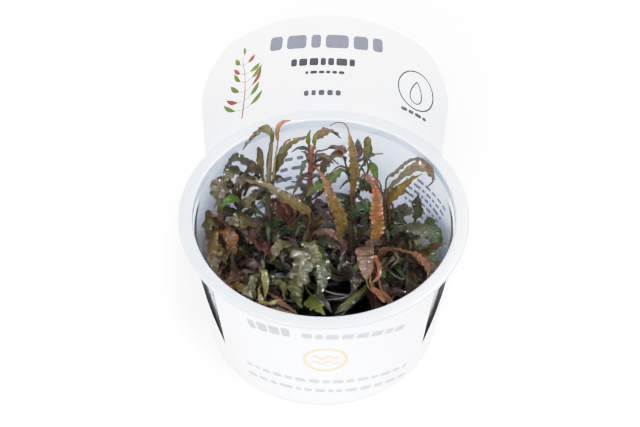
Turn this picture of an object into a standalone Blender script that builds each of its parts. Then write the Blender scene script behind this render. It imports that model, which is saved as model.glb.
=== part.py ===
"""A tissue culture cup of an aquarium plant with lobed leaves.

A clear plastic tub stands in a folded card sleeve, whose back panel passes outside the rim and
rises behind it as a header card. Clear nutrient jelly lies in the tub. Ten stems stand in the
jelly, and each main leaf is a piece of its own that meets its stem with a small gap.

Lengths are in millimetres. +Z is up, the front of the cup faces -Y, and the origin is the middle
of the flat face that the cup stands on. Angles round the cup are in degrees from the front,
positive towards +X.
"""

import math
from collections import namedtuple

import bmesh
import bpy
import numpy as np
from mathutils import Vector

MM = 0.001
GAP = 0.3

# Tub
RIM_RADIUS = 47.5
RIM_TOP = 53.4
RIM_THICKNESS = 1.2
MOUTH_RADIUS = 42.85
SEAT_DEPTH = 4.2
SEAT_WIDTH = 0.95
FOOT_RADIUS = 38.7
NECK_RADIUS = 42.6
COLLAR_RADIUS = 43.5
WALL = 0.8
FLOOR_TOP = 1.0
TUB_SEGMENTS = 52

# Card sleeve
CARD = 0.45
SLEEVE_BOTTOM = 0.7
SLEEVE_FOOT_RADIUS = 39.6
SLEEVE_NECK_RADIUS = 44.35
SLEEVE_TOP = 51.8
FRONT_HALF_ANGLE = 54.0
BAND_TOP = 10.8
WINDOW_CURVE = 0.8
SHOULDER_TOP = 50.6
BACK_RIM_RADIUS = 48.45
HEADER_LEAN = 0.125
HEADER_SHIFT = 1.4
HEADER_HALF_WIDTH = 47.8
HEADER_CORNER_START = 33.0
HEADER_CORNER_BASE = 73.0
HEADER_CORNER_TOP = 88.7
HEADER_CORNER_POWER = 1.5
HEADER_TOP = 91.7

# Jelly
JELLY_TOP = 13.6
MENISCUS = 1.0

# Plants
STEM_SIDES = 6
STEM_STEPS = 7
LEAF_STEPS = 12
SMALL_LEAF_STEPS = 8
MIDRIB_THICKNESS = 0.6
STALK_WIDTH = 0.9
SMALL_LEAF_BLADE = (0.2, 1)
SINUS_SHARE = 0.5
EDGE_LIFT = 0.12
TIP_WIDTH = 0.5

Stem = namedtuple("Stem", "radius route")
Leaf = namedtuple("Leaf", "stem height width blade roll route")
Sprig = namedtuple("Sprig", "height heading reach rise drop width")

# A stem's route runs from its foot in the jelly to its top.
STEMS = {
    "stem_back_left": Stem(1.25, ((-18, 14, 5), (-19, 16, 28), (-19, 18, 48))),
    "stem_left": Stem(1.0, ((-26, 13, 5), (-29, 17, 26), (-29, 20, 43))),
    "stem_left_wall": Stem(1.0, ((-27, 5, 5), (-33, 10, 22), (-35, 12, 36))),
    "stem_back_centre": Stem(1.05, ((-5, 17, 5), (-5, 20, 34), (-4, 23, 61))),
    "stem_back": Stem(1.2, ((9, 14, 5), (10, 18, 32), (10, 22, 53))),
    "stem_right": Stem(1.1, ((21, 8, 5), (21, 11, 26), (21, 16, 44))),
    "stem_right_wall": Stem(0.9, ((28, 0, 5), (29, 5, 20), (30, 11, 34))),
    "stem_right_front": Stem(1.0, ((16, 0, 5), (17, 2, 15), (17, 3, 25))),
    "stem_centre": Stem(1.2, ((-7, 4, 5), (-7, 5, 18), (-7, 6, 31))),
    "stem_front_left": Stem(0.9, ((-20, -5, 5), (-21, -5, 15), (-21, -4, 26))),
}

# A leaf's route starts beside its stem at the given height and runs through these points to its tip.
# Its blade fills the share of its length between the two numbers; before it comes the stalk, and
# after it a thin tail. Roll turns the blade about its midrib, in degrees.
LEAVES = {
    "leaf_back_left_arch": Leaf("stem_back_left", 47, 5.4, (0.42, 1), 0, (
        (-18.8, 21, 56), (-18, 24, 63), (-20, 26.5, 64), (-24, 27, 60), (-27.5, 26, 55.5))),
    "leaf_back_left_tip": Leaf("stem_back_left", 47, 2.2, (0.62, 1), 0, (
        (-16.5, 19.5, 54), (-15.7, 23, 60), (-15.2, 26, 65.5), (-13.5, 27.5, 67), (-11, 28.5, 67))),
    "leaf_back_left_spatula": Leaf("stem_back_left", 46, 2.8, (0.5, 1), 0, (
        (-20.8, 20, 53), (-22, 23, 60))),
    "leaf_back_long_arch": Leaf("stem_back_left", 41, 3.8, (0.2, 1), 0, (
        (-16.2, 20.5, 51.5), (-13.5, 23, 57), (-10.5, 25.5, 59.5), (-4.5, 27.5, 61))),
    "leaf_centre_long_olive": Leaf("stem_centre", 30, 5.4, (0.26, 1), 0, (
        (-4.8, 9.6, 40), (-8.4, 9.7, 44.5), (-14.5, 11.6, 49), (-21, 13.5, 51.5), (-26.7, 15.4, 52))),
    "leaf_left_dark_arch": Leaf("stem_back_left", 42, 7.0, (0.2, 1), 0, (
        (-23, 20, 49), (-26, 22, 53), (-30, 23, 54), (-34, 20, 50))),
    "leaf_left_olive": Leaf("stem_left", 40, 6.5, (0.2, 1), 15, (
        (-32, 20, 46), (-35, 17, 47), (-36, 13, 43))),
    "leaf_left_hanging": Leaf("stem_left", 38, 3.8, (0.2, 1), 20, (
        (-33, 19, 42), (-35, 16, 38), (-35, 14, 31))),
    "leaf_left_bright": Leaf("stem_left", 34, 4.6, (0.2, 1), 0, (
        (-28.5, 14.5, 41.5), (-31.5, 13, 44.5), (-36, 11, 44))),
    "leaf_left_wall_green": Leaf("stem_left_wall", 34, 6.5, (0.2, 1), 70, (
        (-37, 7, 41), (-39, 4, 44), (-39.5, -1, 42))),
    "leaf_left_wall_olive": Leaf("stem_left_wall", 31, 6.5, (0.15, 1), 60, (
        (-37, 6, 37), (-38, 0, 38), (-37, -6, 32))),
    "leaf_left_broad": Leaf("stem_back_left", 29, 8.0, (0.15, 1), 0, (
        (-23, 12, 34), (-28, 9, 38), (-33, 8, 39))),
    "leaf_left_orange_brown": Leaf("stem_left_wall", 30, 6.0, (0.15, 1), 0, (
        (-33.5, 8, 35), (-32, 5, 34), (-30, 2, 29))),
    "leaf_left_red_brown": Leaf("stem_left", 26, 4.8, (0.15, 1), 0, (
        (-28.2, 13.5, 29.5), (-26, 10.5, 30), (-23, 7.5, 28))),
    "leaf_left_yellow_green": Leaf("stem_left_wall", 24, 4.0, (0.15, 1), 0, (
        (-35.5, 6.5, 29.5), (-35.8, 3, 30.5), (-34.5, 0.5, 30), (-33, -1, 27))),
    "leaf_back_brown_curl": Leaf("stem_back_centre", 58, 4.5, (0.1, 1), 0, (
        (-2, 27, 61), (2, 28, 62), (6, 28, 59))),
    "leaf_back_brown": Leaf("stem_back_centre", 53, 5.0, (0.5, 1), 0, (
        (-2, 24, 57), (3, 24, 58), (8, 25, 56))),
    "leaf_centre_orange": Leaf("stem_back_centre", 54, 5.6, (0.12, 1), 0, (
        (-2, 16, 56), (2, 10, 52), (5, 6, 44), (6, 4, 35))),
    "leaf_centre_green": Leaf("stem_centre", 25, 5.0, (0.15, 1), 0, (
        (-3.2, 6.6, 29), (1.5, 7, 30), (6, 5.2, 28))),
    "leaf_back_shoot": Leaf("stem_back", 38, 5.0, (0.12, 0.76), 0, (
        (9.6, 14.5, 44), (9.8, 15, 51), (9.4, 17.5, 59), (8.8, 21.5, 66), (7.5, 24.5, 69), (4.5, 26.5, 68),
        (2, 27.5, 65.5))),
    "leaf_back_broad": Leaf("stem_back", 50, 6.0, (0.2, 1), 0, ((6, 22, 57), (2, 21, 56), (-1, 20, 50))),
    "leaf_back_green": Leaf("stem_back", 49, 5.2, (0.12, 1), 0, (
        (6.5, 19.5, 52), (2.8, 18.2, 49.5), (-1.9, 17.3, 46.5), (-6.7, 16.3, 42.5))),
    "leaf_back_purple": Leaf("stem_back", 47, 3.0, (0.4, 1), 0, ((12, 27, 52), (11.5, 30, 57))),
    "leaf_back_spatula": Leaf("stem_back", 43, 3.8, (0.55, 1), 0, (
        (14.5, 22, 47), (15, 25, 54), (15, 28, 60))),
    "leaf_back_dark": Leaf("stem_back", 49, 4.4, (0.3, 0.8), 0, ((14, 22, 54), (17, 22, 57), (20, 23, 57))),
    "leaf_back_small_green": Leaf("stem_right", 43, 3.4, (0.45, 1), 0, (
        (18.4, 20, 47.5), (15.5, 22.5, 53))),
    "leaf_back_dark_green": Leaf("stem_back", 41, 3.6, (0.15, 1), 0, (
        (13.5, 18.5, 46.5), (15.5, 18, 46), (17, 18.5, 42))),
    "leaf_right_orange": Leaf("stem_right_front", 23, 5.6, (0.16, 1), 0, (
        (17, 6, 30), (18, 8, 38), (18, 11, 46), (16, 14, 53))),
    "leaf_right_pink": Leaf("stem_right", 41, 3.6, (0.2, 1), 0, (
        (17.3, 16.6, 48), (13.5, 17.8, 51), (11.5, 17.7, 49))),
    "leaf_centre_dark_green": Leaf("stem_right", 35, 6.4, (0.15, 1), 0, (
        (16.1, 13.5, 40), (14.4, 12.9, 42), (11.6, 11.7, 41), (9, 11.2, 37))),
    "leaf_front_twisted": Leaf("stem_right_front", 22, 6.8, (0.12, 0.68), 0, (
        (15.1, 3.8, 31), (14.3, -1.5, 32.5), (13.7, -5.5, 32), (13.8, -9, 30.5), (15.1, -12.5, 29.5),
        (17.7, -14.9, 29), (21.6, -18.8, 29.5))),
    "leaf_right_curl_back": Leaf("stem_right", 42, 4.4, (0.27, 0.78), 0, (
        (21.3, 18.3, 49.5), (24, 19, 52), (27, 20.3, 54), (30.5, 21, 55.5), (34, 20, 56),
        (36.5, 18, 54), (37.3, 16.5, 51))),
    "leaf_right_curl_front": Leaf("stem_right", 40, 6.8, (0.2, 0.97), 0, (
        (22, 13, 49), (25, 14, 53.5), (28.5, 15, 56), (32, 15.8, 57), (35, 15.3, 56), (36.3, 14, 53),
        (34.5, 13, 51))),
    "leaf_right_olive": Leaf("stem_right", 34, 4.6, (0.2, 1), 0, (
        (22.3, 12.3, 43), (23.7, 10.5, 50), (27, 10.5, 54.5), (29.9, 11.3, 57), (32.6, 12.6, 58))),
    "leaf_right_dark_green": Leaf("stem_right_wall", 33, 4.0, (0.2, 1), 0, ((32, 13, 38), (32, 16, 44))),
    "leaf_right_dark": Leaf("stem_right", 28, 7.0, (0.15, 1), 0, (
        (24, 14, 33), (27, 15, 36), (30, 16, 34))),
    "leaf_right_bright": Leaf("stem_right_wall", 29, 7.0, (0.15, 1), -15, (
        (34, 9, 36), (37, 5, 37), (38, 0, 34))),
    "leaf_right_rim": Leaf("stem_right_wall", 22, 3.4, (0.3, 1), 40, (
        (33, 2, 29), (36, -2, 37), (38, -7, 45), (39.5, -11, 50))),
    "leaf_right_orange_arch": Leaf("stem_right_front", 24, 4.8, (0.12, 0.92), 20, (
        (20, -1, 34), (23, -4, 38.5), (27, -6.5, 40), (31.5, -8.5, 39.5), (34.3, -10.5, 37),
        (34.3, -12.5, 34),
        (31.5, -14, 31.5))),
    "leaf_right_glossy": Leaf("stem_right_wall", 26, 7.0, (0.15, 1), 0, (
        (28, 9, 31), (26, 8, 32), (23, 7, 29))),
    "leaf_front_lobed": Leaf("stem_centre", 29, 8.4, (0.15, 1), 0, (
        (-6.6, -2.2, 36.5), (-7.2, -7, 36), (-8.9, -11.4, 34.5), (-9.5, -14.9, 31.5), (-8.2, -17.6, 28.5),
        (-7.2, -19.8, 27.5))),
    "leaf_front_olive": Leaf("stem_centre", 26, 6.2, (0.15, 1), 0, (
        (-1.6, 2, 32), (-0.9, -3.8, 33), (-0.4, -9, 32), (-1, -13.3, 29.5), (-1.8, -15.8, 27))),
    "leaf_front_rim_green": Leaf("stem_centre", 14, 6.5, (0.4, 1), 0, (
        (-4.3, -11.6, 22), (-2.9, -18.1, 26.5), (-1.6, -22.2, 29), (0.4, -24.2, 29.5))),
    "leaf_front_left_rim": Leaf("stem_front_left", 24, 2.4, (0.4, 1), 0, (
        (-21.5, -12, 28), (-20.8, -18, 28.5), (-18.5, -19.5, 29.5), (-16.1, -18.9, 29.5),
        (-13.6, -17.5, 29))),
    "leaf_front_left_brown": Leaf("stem_front_left", 22, 5.0, (0.3, 1), 0, (
        (-27.5, -7.5, 28.5), (-30, -10.5, 29.5), (-27.9, -13.9, 30.5), (-25.1, -16.3, 30.5),
        (-23.2, -17.6, 29.5))),
    "leaf_centre_pink": Leaf("stem_centre", 28, 3.6, (0.15, 1), 0, ((-3, 8, 33), (3, 8, 33), (8, 6, 28))),
    "leaf_centre_red": Leaf("stem_back_left", 40, 6.0, (0.12, 1), 0, (
        (-16, 14, 44), (-14, 12, 42), (-12, 11, 36))),
}

# Small leaves that grow low on a stem are one piece with it.
SPRIGS = {
    "stem_back_left": (Sprig(20, 160, 11, 7, 3, 4.5), Sprig(24, 20, 9, 5, 4, 4.0)),
    "stem_left": (Sprig(18, 200, 8, 6, 4, 4.5), Sprig(22, -60, 6, 4, 4, 4.0)),
    "stem_left_wall": (Sprig(17, 110, 6, 5, 4, 4.5), Sprig(16, 55, 10, 5, 3, 4.5)),
    "stem_back_centre": (Sprig(22, 150, 12, 7, 4, 4.5), Sprig(28, -80, 8, 5, 4, 4.0)),
    "stem_back": (Sprig(20, 170, 12, 7, 3, 4.5), Sprig(26, 200, 10, 6, 3, 4.0)),
    "stem_right": (Sprig(16, 120, 11, 6, 3, 4.5), Sprig(19, 180, 12, 8, 3, 4.5)),
    "stem_right_wall": (Sprig(17, 30, 10, 5, 3, 4.5), Sprig(18, 100, 6, 5, 3, 4.0)),
    "stem_right_front": (Sprig(17, 20, 14, 5, 4, 5.0), Sprig(18, -40, 12, 5, 4, 4.5)),
    "stem_centre": (Sprig(15, 90, 11, 6, 3, 4.5), Sprig(20, -120, 8, 5, 4, 4.5)),
    "stem_front_left": (Sprig(17, 0, 15, 5, 4, 5.0), Sprig(18, 75, 9, 5, 4, 4.5)),
}


def clear_scene():
    for obj in list(bpy.data.objects):
        bpy.data.objects.remove(obj, do_unlink=True)


def material(name, colour, roughness, transmission=0.0, ior=1.5):
    """A Principled BSDF material; colour is linear red, green and blue."""
    made = bpy.data.materials.new(name)
    made.use_nodes = True
    shader = made.node_tree.nodes["Principled BSDF"]
    shader.inputs["Base Color"].default_value = (*colour, 1.0)
    shader.inputs["Roughness"].default_value = roughness
    shader.inputs["Transmission Weight"].default_value = transmission
    shader.inputs["IOR"].default_value = ior
    made.diffuse_color = (*colour, 1.0)
    return made


def add_object(name, bm, finish, smooth_angle=40):
    """Puts a bmesh into the scene as a named object, facing out and shaded smooth between creases."""
    bmesh.ops.recalc_face_normals(bm, faces=bm.faces)
    mesh = bpy.data.meshes.new(name)
    bm.to_mesh(mesh)
    bm.free()
    mesh.materials.append(finish)
    mesh.shade_smooth()
    mesh.set_sharp_from_angle(angle=math.radians(smooth_angle))
    obj = bpy.data.objects.new(name, mesh)
    bpy.context.scene.collection.objects.link(obj)
    return obj


def hide_helper(obj):
    obj.hide_render = True
    obj.display_type = "WIRE"


def join_by_boolean(obj, other, operation):
    hide_helper(other)
    modifier = obj.modifiers.new(other.name, "BOOLEAN")
    modifier.operation = operation
    modifier.object = other


def turned(profile, segments):
    """A bmesh turned about Z from (radius, height) points that start and end on the axis."""
    bm = bmesh.new()
    points = [bm.verts.new((radius * MM, 0.0, height * MM)) for radius, height in profile]
    edges = [bm.edges.new(pair) for pair in zip(points, points[1:])]
    bmesh.ops.spin(
        bm, geom=points + edges, cent=(0, 0, 0), axis=(0, 0, 1), angle=2 * math.pi, steps=segments
    )
    bmesh.ops.remove_doubles(bm, verts=bm.verts, dist=0.01 * MM)
    return bm


def skinned(rings, bm=None):
    """A closed skin over rings with the same number of points each, capped at both ends."""
    bm = bm or bmesh.new()
    rows = [[bm.verts.new(Vector(point) * MM) for point in ring] for ring in rings]
    count = len(rows[0])
    for lower, upper in zip(rows, rows[1:]):
        for i in range(count):
            j = (i + 1) % count
            bm.faces.new((lower[i], lower[j], upper[j], upper[i]))
    bm.faces.new(reversed(rows[0]))
    bm.faces.new(rows[-1])
    return bm


def unit(vectors):
    return vectors / np.linalg.norm(vectors, axis=-1, keepdims=True)


def smooth_route(points, steps):
    """steps points, evenly spaced along a Catmull-Rom curve through the given ones."""
    points = np.array(points, float)
    ends = np.vstack([2 * points[0] - points[1], points, 2 * points[-1] - points[-2]])
    t = np.linspace(0, 1, 24, endpoint=False)[:, None]
    fine = []
    for a, b, c, d in zip(ends, ends[1:], ends[2:], ends[3:]):
        fine.append(0.5 * (2 * b + (c - a) * t + (2 * a - 5 * b + 4 * c - d) * t**2
                           + (3 * b - a - 3 * c + d) * t**3))
    fine = np.vstack([*fine, points[-1:]])
    reach = np.concatenate([[0], np.cumsum(np.linalg.norm(np.diff(fine, axis=0), axis=1))])
    at = np.linspace(0, reach[-1], steps)
    return np.stack([np.interp(at, reach, fine[:, k]) for k in range(3)], axis=1)


def point_at_height(route, height):
    """The point of a rising route at a height."""
    return np.array([np.interp(height, route[:, 2], route[:, k]) for k in range(3)])


def wall_radius(height):
    """The tub's inner wall, below the lid seat."""
    foot = FOOT_RADIUS - WALL
    neck = MOUTH_RADIUS - SEAT_WIDTH
    seat = RIM_TOP - SEAT_DEPTH
    return foot + (neck - foot) * (height - FLOOR_TOP) / (seat - FLOOR_TOP)


def build_tub(finish):
    under = RIM_TOP - RIM_THICKNESS
    seat = RIM_TOP - SEAT_DEPTH
    profile = [
        (0, 0),
        (FOOT_RADIUS - 0.9, 0),
        (FOOT_RADIUS, 1.1),
        (NECK_RADIUS, seat - 1.0),
        (COLLAR_RADIUS, seat - 0.1),
        (COLLAR_RADIUS, under),
        (RIM_RADIUS, under),
        (RIM_RADIUS, RIM_TOP - 0.25),
        (RIM_RADIUS - 0.3, RIM_TOP),
        (MOUTH_RADIUS + 0.5, RIM_TOP),
        (MOUTH_RADIUS, RIM_TOP - 0.5),
        (MOUTH_RADIUS, seat),
        (MOUTH_RADIUS - SEAT_WIDTH, seat - 0.5),
        (wall_radius(FLOOR_TOP + 1.2), FLOOR_TOP + 1.2),
        (wall_radius(FLOOR_TOP) - 1.2, FLOOR_TOP),
        (0, FLOOR_TOP),
    ]
    return add_object("cup", turned(profile, TUB_SEGMENTS), finish)


def header_top(arc):
    """Height of the header card's upper edge at an arc length from its middle."""
    arc = abs(arc)
    if arc <= HEADER_CORNER_START:
        return HEADER_TOP - (HEADER_TOP - HEADER_CORNER_TOP) * (arc / HEADER_CORNER_START) ** 2
    across = min(1.0, (arc - HEADER_CORNER_START) / (HEADER_HALF_WIDTH - HEADER_CORNER_START))
    power = HEADER_CORNER_POWER
    rise = (1 - across**power) ** (1 / power)
    return HEADER_CORNER_BASE + (HEADER_CORNER_TOP - HEADER_CORNER_BASE) * rise


def window_bottom(angle, end):
    """Height of the card's curved edge under a side window, at an angle between the panels."""
    start = FRONT_HALF_ANGLE + 2
    share = max(0.0, (abs(angle) - start) / (end - start))
    return BAND_TOP + (SHOULDER_TOP - BAND_TOP) * share**WINDOW_CURVE


def sleeve_radius(angle, height):
    """Outer radius of the card: a cone on the tub in front, and a wider one that clears the rim behind."""
    front = SLEEVE_FOOT_RADIUS + (SLEEVE_NECK_RADIUS - SLEEVE_FOOT_RADIUS) * height / SLEEVE_TOP
    if height <= RIM_TOP:
        back = SLEEVE_FOOT_RADIUS + (BACK_RIM_RADIUS - SLEEVE_FOOT_RADIUS) * height / RIM_TOP
    else:
        back = BACK_RIM_RADIUS + HEADER_LEAN * (height - RIM_TOP)
    share = min(1.0, max(0.0, (abs(angle) - 62) / 54))
    share = share * share * (3 - 2 * share)
    return front + (back - front) * share


def back_angle(arc, height):
    """Angle of a point on the back panel, at an arc length to the right of its middle line."""
    above = max(0.0, height - RIM_TOP)
    aside = HEADER_SHIFT * above / (HEADER_TOP - RIM_TOP)
    return 180 - math.degrees((arc + aside) / (BACK_RIM_RADIUS + HEADER_LEAN * above))


def sleeve_columns():
    """Columns of (angle, height) points, once round the sleeve from the middle of the header."""
    side = back_angle(HEADER_HALF_WIDTH, RIM_TOP)
    arcs = [0, 6.6, 13.2, 19.8, 26.4, 33, 36.5, 40, 43, 45.3, 46.7, HEADER_HALF_WIDTH]

    def back_column(arc, turn):
        heights = (SLEEVE_BOTTOM, SHOULDER_TOP, RIM_TOP, header_top(arc))
        return [(back_angle(arc, height) - turn, height) for height in heights]

    def window_column(angle):
        return [(angle, SLEEVE_BOTTOM), (angle, window_bottom(angle, side))]

    def front_column(angle):
        return [(angle, height) for height in (SLEEVE_BOTTOM, BAND_TOP, SLEEVE_TOP)]

    between = np.linspace(side, FRONT_HALF_ANGLE, 15)[1:-1]
    columns = [back_column(arc, 0) for arc in arcs]
    columns += [window_column(angle) for angle in between]
    columns += [front_column(angle) for angle in np.linspace(FRONT_HALF_ANGLE, -FRONT_HALF_ANGLE, 25)]
    columns += [window_column(-angle) for angle in between[::-1]]
    columns += [back_column(-arc, 360) for arc in arcs[:0:-1]]
    return columns


def build_sleeve(finish):
    """One card: band, front panel, back panel and header, given its thickness by Solidify."""
    bm = bmesh.new()
    columns = []
    for places in sleeve_columns():
        column = []
        for angle, height in places:
            radius = sleeve_radius(angle, height)
            turn = math.radians(angle)
            column.append(bm.verts.new((
                radius * math.sin(turn) * MM, -radius * math.cos(turn) * MM, height * MM)))
        columns.append(column)
    for first, second in zip(columns, columns[1:] + columns[:1]):
        for k in range(min(len(first), len(second)) - 1):
            bm.faces.new((first[k], first[k + 1], second[k + 1], second[k]))
    bmesh.ops.recalc_face_normals(bm, faces=bm.faces)
    sleeve = add_object("card_sleeve", bm, finish)
    wall = sleeve.modifiers.new("card", "SOLIDIFY")
    wall.thickness = CARD * MM
    wall.offset = -1.0
    return sleeve


def stem_axis(name):
    return smooth_route(STEMS[name].route, STEM_STEPS * 3)


def stem_rings(name, swell=0.0, top=None):
    """Rings of a stem that narrows upwards; swell widens it and lowers its foot, for its pocket."""
    stem = STEMS[name]
    route = smooth_route(stem.route, STEM_STEPS)
    if top is not None:
        foot = np.array(stem.route[0], float) - (0, 0, swell)
        route = np.array([foot, point_at_height(stem_axis(name), top)])
    turn = np.arange(STEM_SIDES) / STEM_SIDES * 2 * math.pi
    circle = np.stack([np.cos(turn), np.sin(turn), 0 * turn], axis=1)
    widths = np.linspace(stem.radius, stem.radius * 0.85, len(route)) + swell
    return [centre + circle * width for centre, width in zip(route, widths)]


def blade_widths(width, blade_share, steps):
    """Half widths from stalk to tip; every other step is the notch between two lobes."""
    start, end = blade_share
    t = np.clip((np.linspace(0, 1, steps) - start) / (end - start), 0, 1)
    blade = np.sin(math.pi * t**0.85) ** 0.75 * width / 2
    lobes = np.where(np.arange(steps) % 2 == steps % 2, 1.0, SINUS_SHARE)
    half = np.maximum(blade * lobes, STALK_WIDTH / 2)
    half[-1] = TIP_WIDTH / 2
    return half


def leaf_rings(route, width, blade_share, steps, roll=0.0):
    """Rings of four points: left edge, top of the midrib, right edge, underside of the midrib."""
    route = smooth_route(route, steps)
    along = unit(np.gradient(route, axis=0))
    heading = route[-1] - route[0]
    across = np.array([heading[1], -heading[0], 0.0])
    across = unit(across - along * (along @ across)[:, None])
    up = np.cross(across, along)
    turn = math.radians(roll)
    across, up = across * math.cos(turn) + up * math.sin(turn), up * math.cos(turn) - across * math.sin(turn)
    half = blade_widths(width, blade_share, steps)[:, None]
    lift = up * half * EDGE_LIFT
    rib = up * np.linspace(MIDRIB_THICKNESS, MIDRIB_THICKNESS * 0.5, steps)[:, None] / 2
    corners = (route - across * half + lift, route + rib, route + across * half + lift, route - rib)
    return list(np.stack(corners, axis=1))


def leaf_route(leaf):
    """The leaf's route from beside its stem, a gap away, to its tip."""
    base = point_at_height(stem_axis(leaf.stem), leaf.height)
    outward = np.array(leaf.route[0], float) - base
    outward[2] = 0
    clear = STEMS[leaf.stem].radius + GAP + STALK_WIDTH / 2
    return [base + unit(outward) * clear, *leaf.route]


def sprig_route(stem, sprig):
    """From inside the stem out along a heading, up to a crown and down to the tip."""
    base = point_at_height(stem_axis(stem), sprig.height)
    turn = math.radians(sprig.heading)
    out = np.array([math.sin(turn), -math.cos(turn), 0.0])
    rise = np.array([0, 0, sprig.rise])
    tip = np.array([0, 0, sprig.rise - sprig.drop])
    return [base, base + out * sprig.reach * 0.6 + rise, base + out * sprig.reach + tip]


def build_stem(name, stem_finish):
    stem = add_object(name, skinned(stem_rings(name)), stem_finish)
    for number, sprig in enumerate(SPRIGS[name], 1):
        rings = leaf_rings(sprig_route(name, sprig), sprig.width, SMALL_LEAF_BLADE, SMALL_LEAF_STEPS)
        blade = add_object(f"{name}_sprig_{number}", skinned(rings), stem_finish)
        join_by_boolean(stem, blade, "UNION")
    return stem


def build_jelly(finish):
    """Clear jelly with a raised edge at the wall and an open pocket round each stem's foot."""
    bottom = FLOOR_TOP + GAP
    profile = [
        (0, bottom),
        (wall_radius(bottom) - 1.6, bottom),
        (wall_radius(bottom + 1.4) - GAP, bottom + 1.4),
        (wall_radius(JELLY_TOP + MENISCUS) - GAP, JELLY_TOP + MENISCUS),
        (wall_radius(JELLY_TOP) - 1.6, JELLY_TOP),
        (0, JELLY_TOP),
    ]
    jelly = add_object("jelly", turned(profile, TUB_SEGMENTS), finish)
    bm = bmesh.new()
    for name in STEMS:
        skinned(stem_rings(name, swell=GAP + 0.1, top=JELLY_TOP + 2), bm)
    pockets = add_object("stem_pockets", bm, finish)
    join_by_boolean(jelly, pockets, "DIFFERENCE")
    return jelly


def main():
    clear_scene()
    clear_plastic = material("clear polypropylene", (0.9, 0.92, 0.93), 0.12, transmission=1.0, ior=1.49)
    white_card = material("coated white card", (0.9, 0.91, 0.92), 0.45)
    jelly = material("clear nutrient jelly", (0.93, 0.92, 0.88), 0.05, transmission=1.0, ior=1.34)
    stem_brown = material("brown stem", (0.10, 0.055, 0.035), 0.35)
    olive_leaf = material("olive leaf", (0.085, 0.095, 0.025), 0.3)
    orange_leaf = material("orange leaf", (0.42, 0.14, 0.05), 0.3)
    build_tub(clear_plastic)
    build_sleeve(white_card)
    build_jelly(jelly)
    for name in STEMS:
        build_stem(name, stem_brown)
    for name, leaf in LEAVES.items():
        warm = any(word in name for word in ("orange", "pink", "red", "twisted"))
        rings = leaf_rings(leaf_route(leaf), leaf.width, leaf.blade, LEAF_STEPS, leaf.roll)
        add_object(name, skinned(rings), orange_leaf if warm else olive_leaf)


if __name__ == "__main__":
    main()
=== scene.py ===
"""Looks of a tissue culture cup of an aquarium plant with lobed leaves.

A clear tub stands in a folded white card with a tall header. Ten stems stand in clear jelly and
carry lobed leaves, which lie, arch and curl in front of the card. Shapes are worked out in
millimetres and go into the meshes in metres.
"""

import math
from collections import namedtuple

import bpy
import numpy as np
from bpy.props import FloatProperty, FloatVectorProperty, IntProperty, PointerProperty
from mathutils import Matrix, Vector


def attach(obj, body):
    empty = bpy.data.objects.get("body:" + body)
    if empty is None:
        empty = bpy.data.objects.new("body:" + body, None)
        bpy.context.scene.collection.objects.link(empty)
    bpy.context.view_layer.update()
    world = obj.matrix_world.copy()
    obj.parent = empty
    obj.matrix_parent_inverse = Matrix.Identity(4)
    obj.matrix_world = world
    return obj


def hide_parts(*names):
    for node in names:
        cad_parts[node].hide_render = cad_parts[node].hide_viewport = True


bl_info = {
    "name": "Tissue culture plant cup",
    "version": (1, 0, 0),
    "blender": (4, 5, 0),
    "location": "View3D > Sidebar > Plant Cup",
    "description": "Builds a clear cup in a white card with lobed plants growing in jelly",
    "category": "Add Mesh",
}

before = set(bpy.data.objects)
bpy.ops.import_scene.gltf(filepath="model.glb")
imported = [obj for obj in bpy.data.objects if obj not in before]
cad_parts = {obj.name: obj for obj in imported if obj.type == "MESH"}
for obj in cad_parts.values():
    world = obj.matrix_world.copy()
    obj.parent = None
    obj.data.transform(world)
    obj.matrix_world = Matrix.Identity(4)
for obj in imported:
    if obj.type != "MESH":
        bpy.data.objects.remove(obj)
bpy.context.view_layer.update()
MM = 0.001

# Tub
RIM_TOP = 53.4
RIM_THICKNESS = 1.2
MOUTH_RADIUS = 42.85
SEAT_DEPTH = 4.2
SEAT_WIDTH = 0.95
FOOT_RADIUS = 38.7
NECK_RADIUS = 42.6
COLLAR_RADIUS = 43.5
WALL = 0.8
FLOOR_TOP = 1.0

# Card
SLEEVE_BOTTOM = 0.7
SLEEVE_FOOT_RADIUS = 39.6
SLEEVE_NECK_RADIUS = 44.35
SLEEVE_TOP = 51.8
FRONT_HALF_ANGLE = 54.0
BAND_TOP = 10.8
WINDOW_CURVE = 0.8
WINDOW_START = 2.0
SHOULDER_TOP = 50.6
BACK_RIM_RADIUS = 48.45
HEADER_LEAN = 0.125
HEADER_SHIFT = 1.4
HEADER_HALF_WIDTH = 47.8
HEADER_CORNER_START = 33.0
HEADER_CORNER_BASE = 73.0
HEADER_CORNER_TOP = 88.7
HEADER_CORNER_POWER = 1.5
HEADER_TOP = 91.7

# Jelly
JELLY_TOP = 13.6
MENISCUS = 1.0
JELLY_CORNER = 0.8

# Print: how far its face and its back stand off the card, how far behind the card's outer face the
# inner face lies, and the radius that turns an arc length on the front panel into an angle.
INK = 0.04
INK_GAP = 0.005
CARD_BACK = 0.45
FRONT_PRINT_RADIUS = 43.0

# Plants: clearance round a stem and the jelly, width of a leaf's stalk, and the depth of notches
# under which a leaf is blunt.
GAP = 0.3
STALK_WIDTH = 0.9
BLUNT = 0.15

# Smoothness of the tub and the jelly, in segments round the axis
TUB_SEGMENTS = 256
JELLY_SEGMENTS = 192

# Camera: degrees it looks down, distance from its target, and the target's place to the right and
# its height
CAMERA_DOWN = 48.26
CAMERA_DISTANCE = 450.0
CAMERA_TARGET = (-1.25, 52.36)

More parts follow.
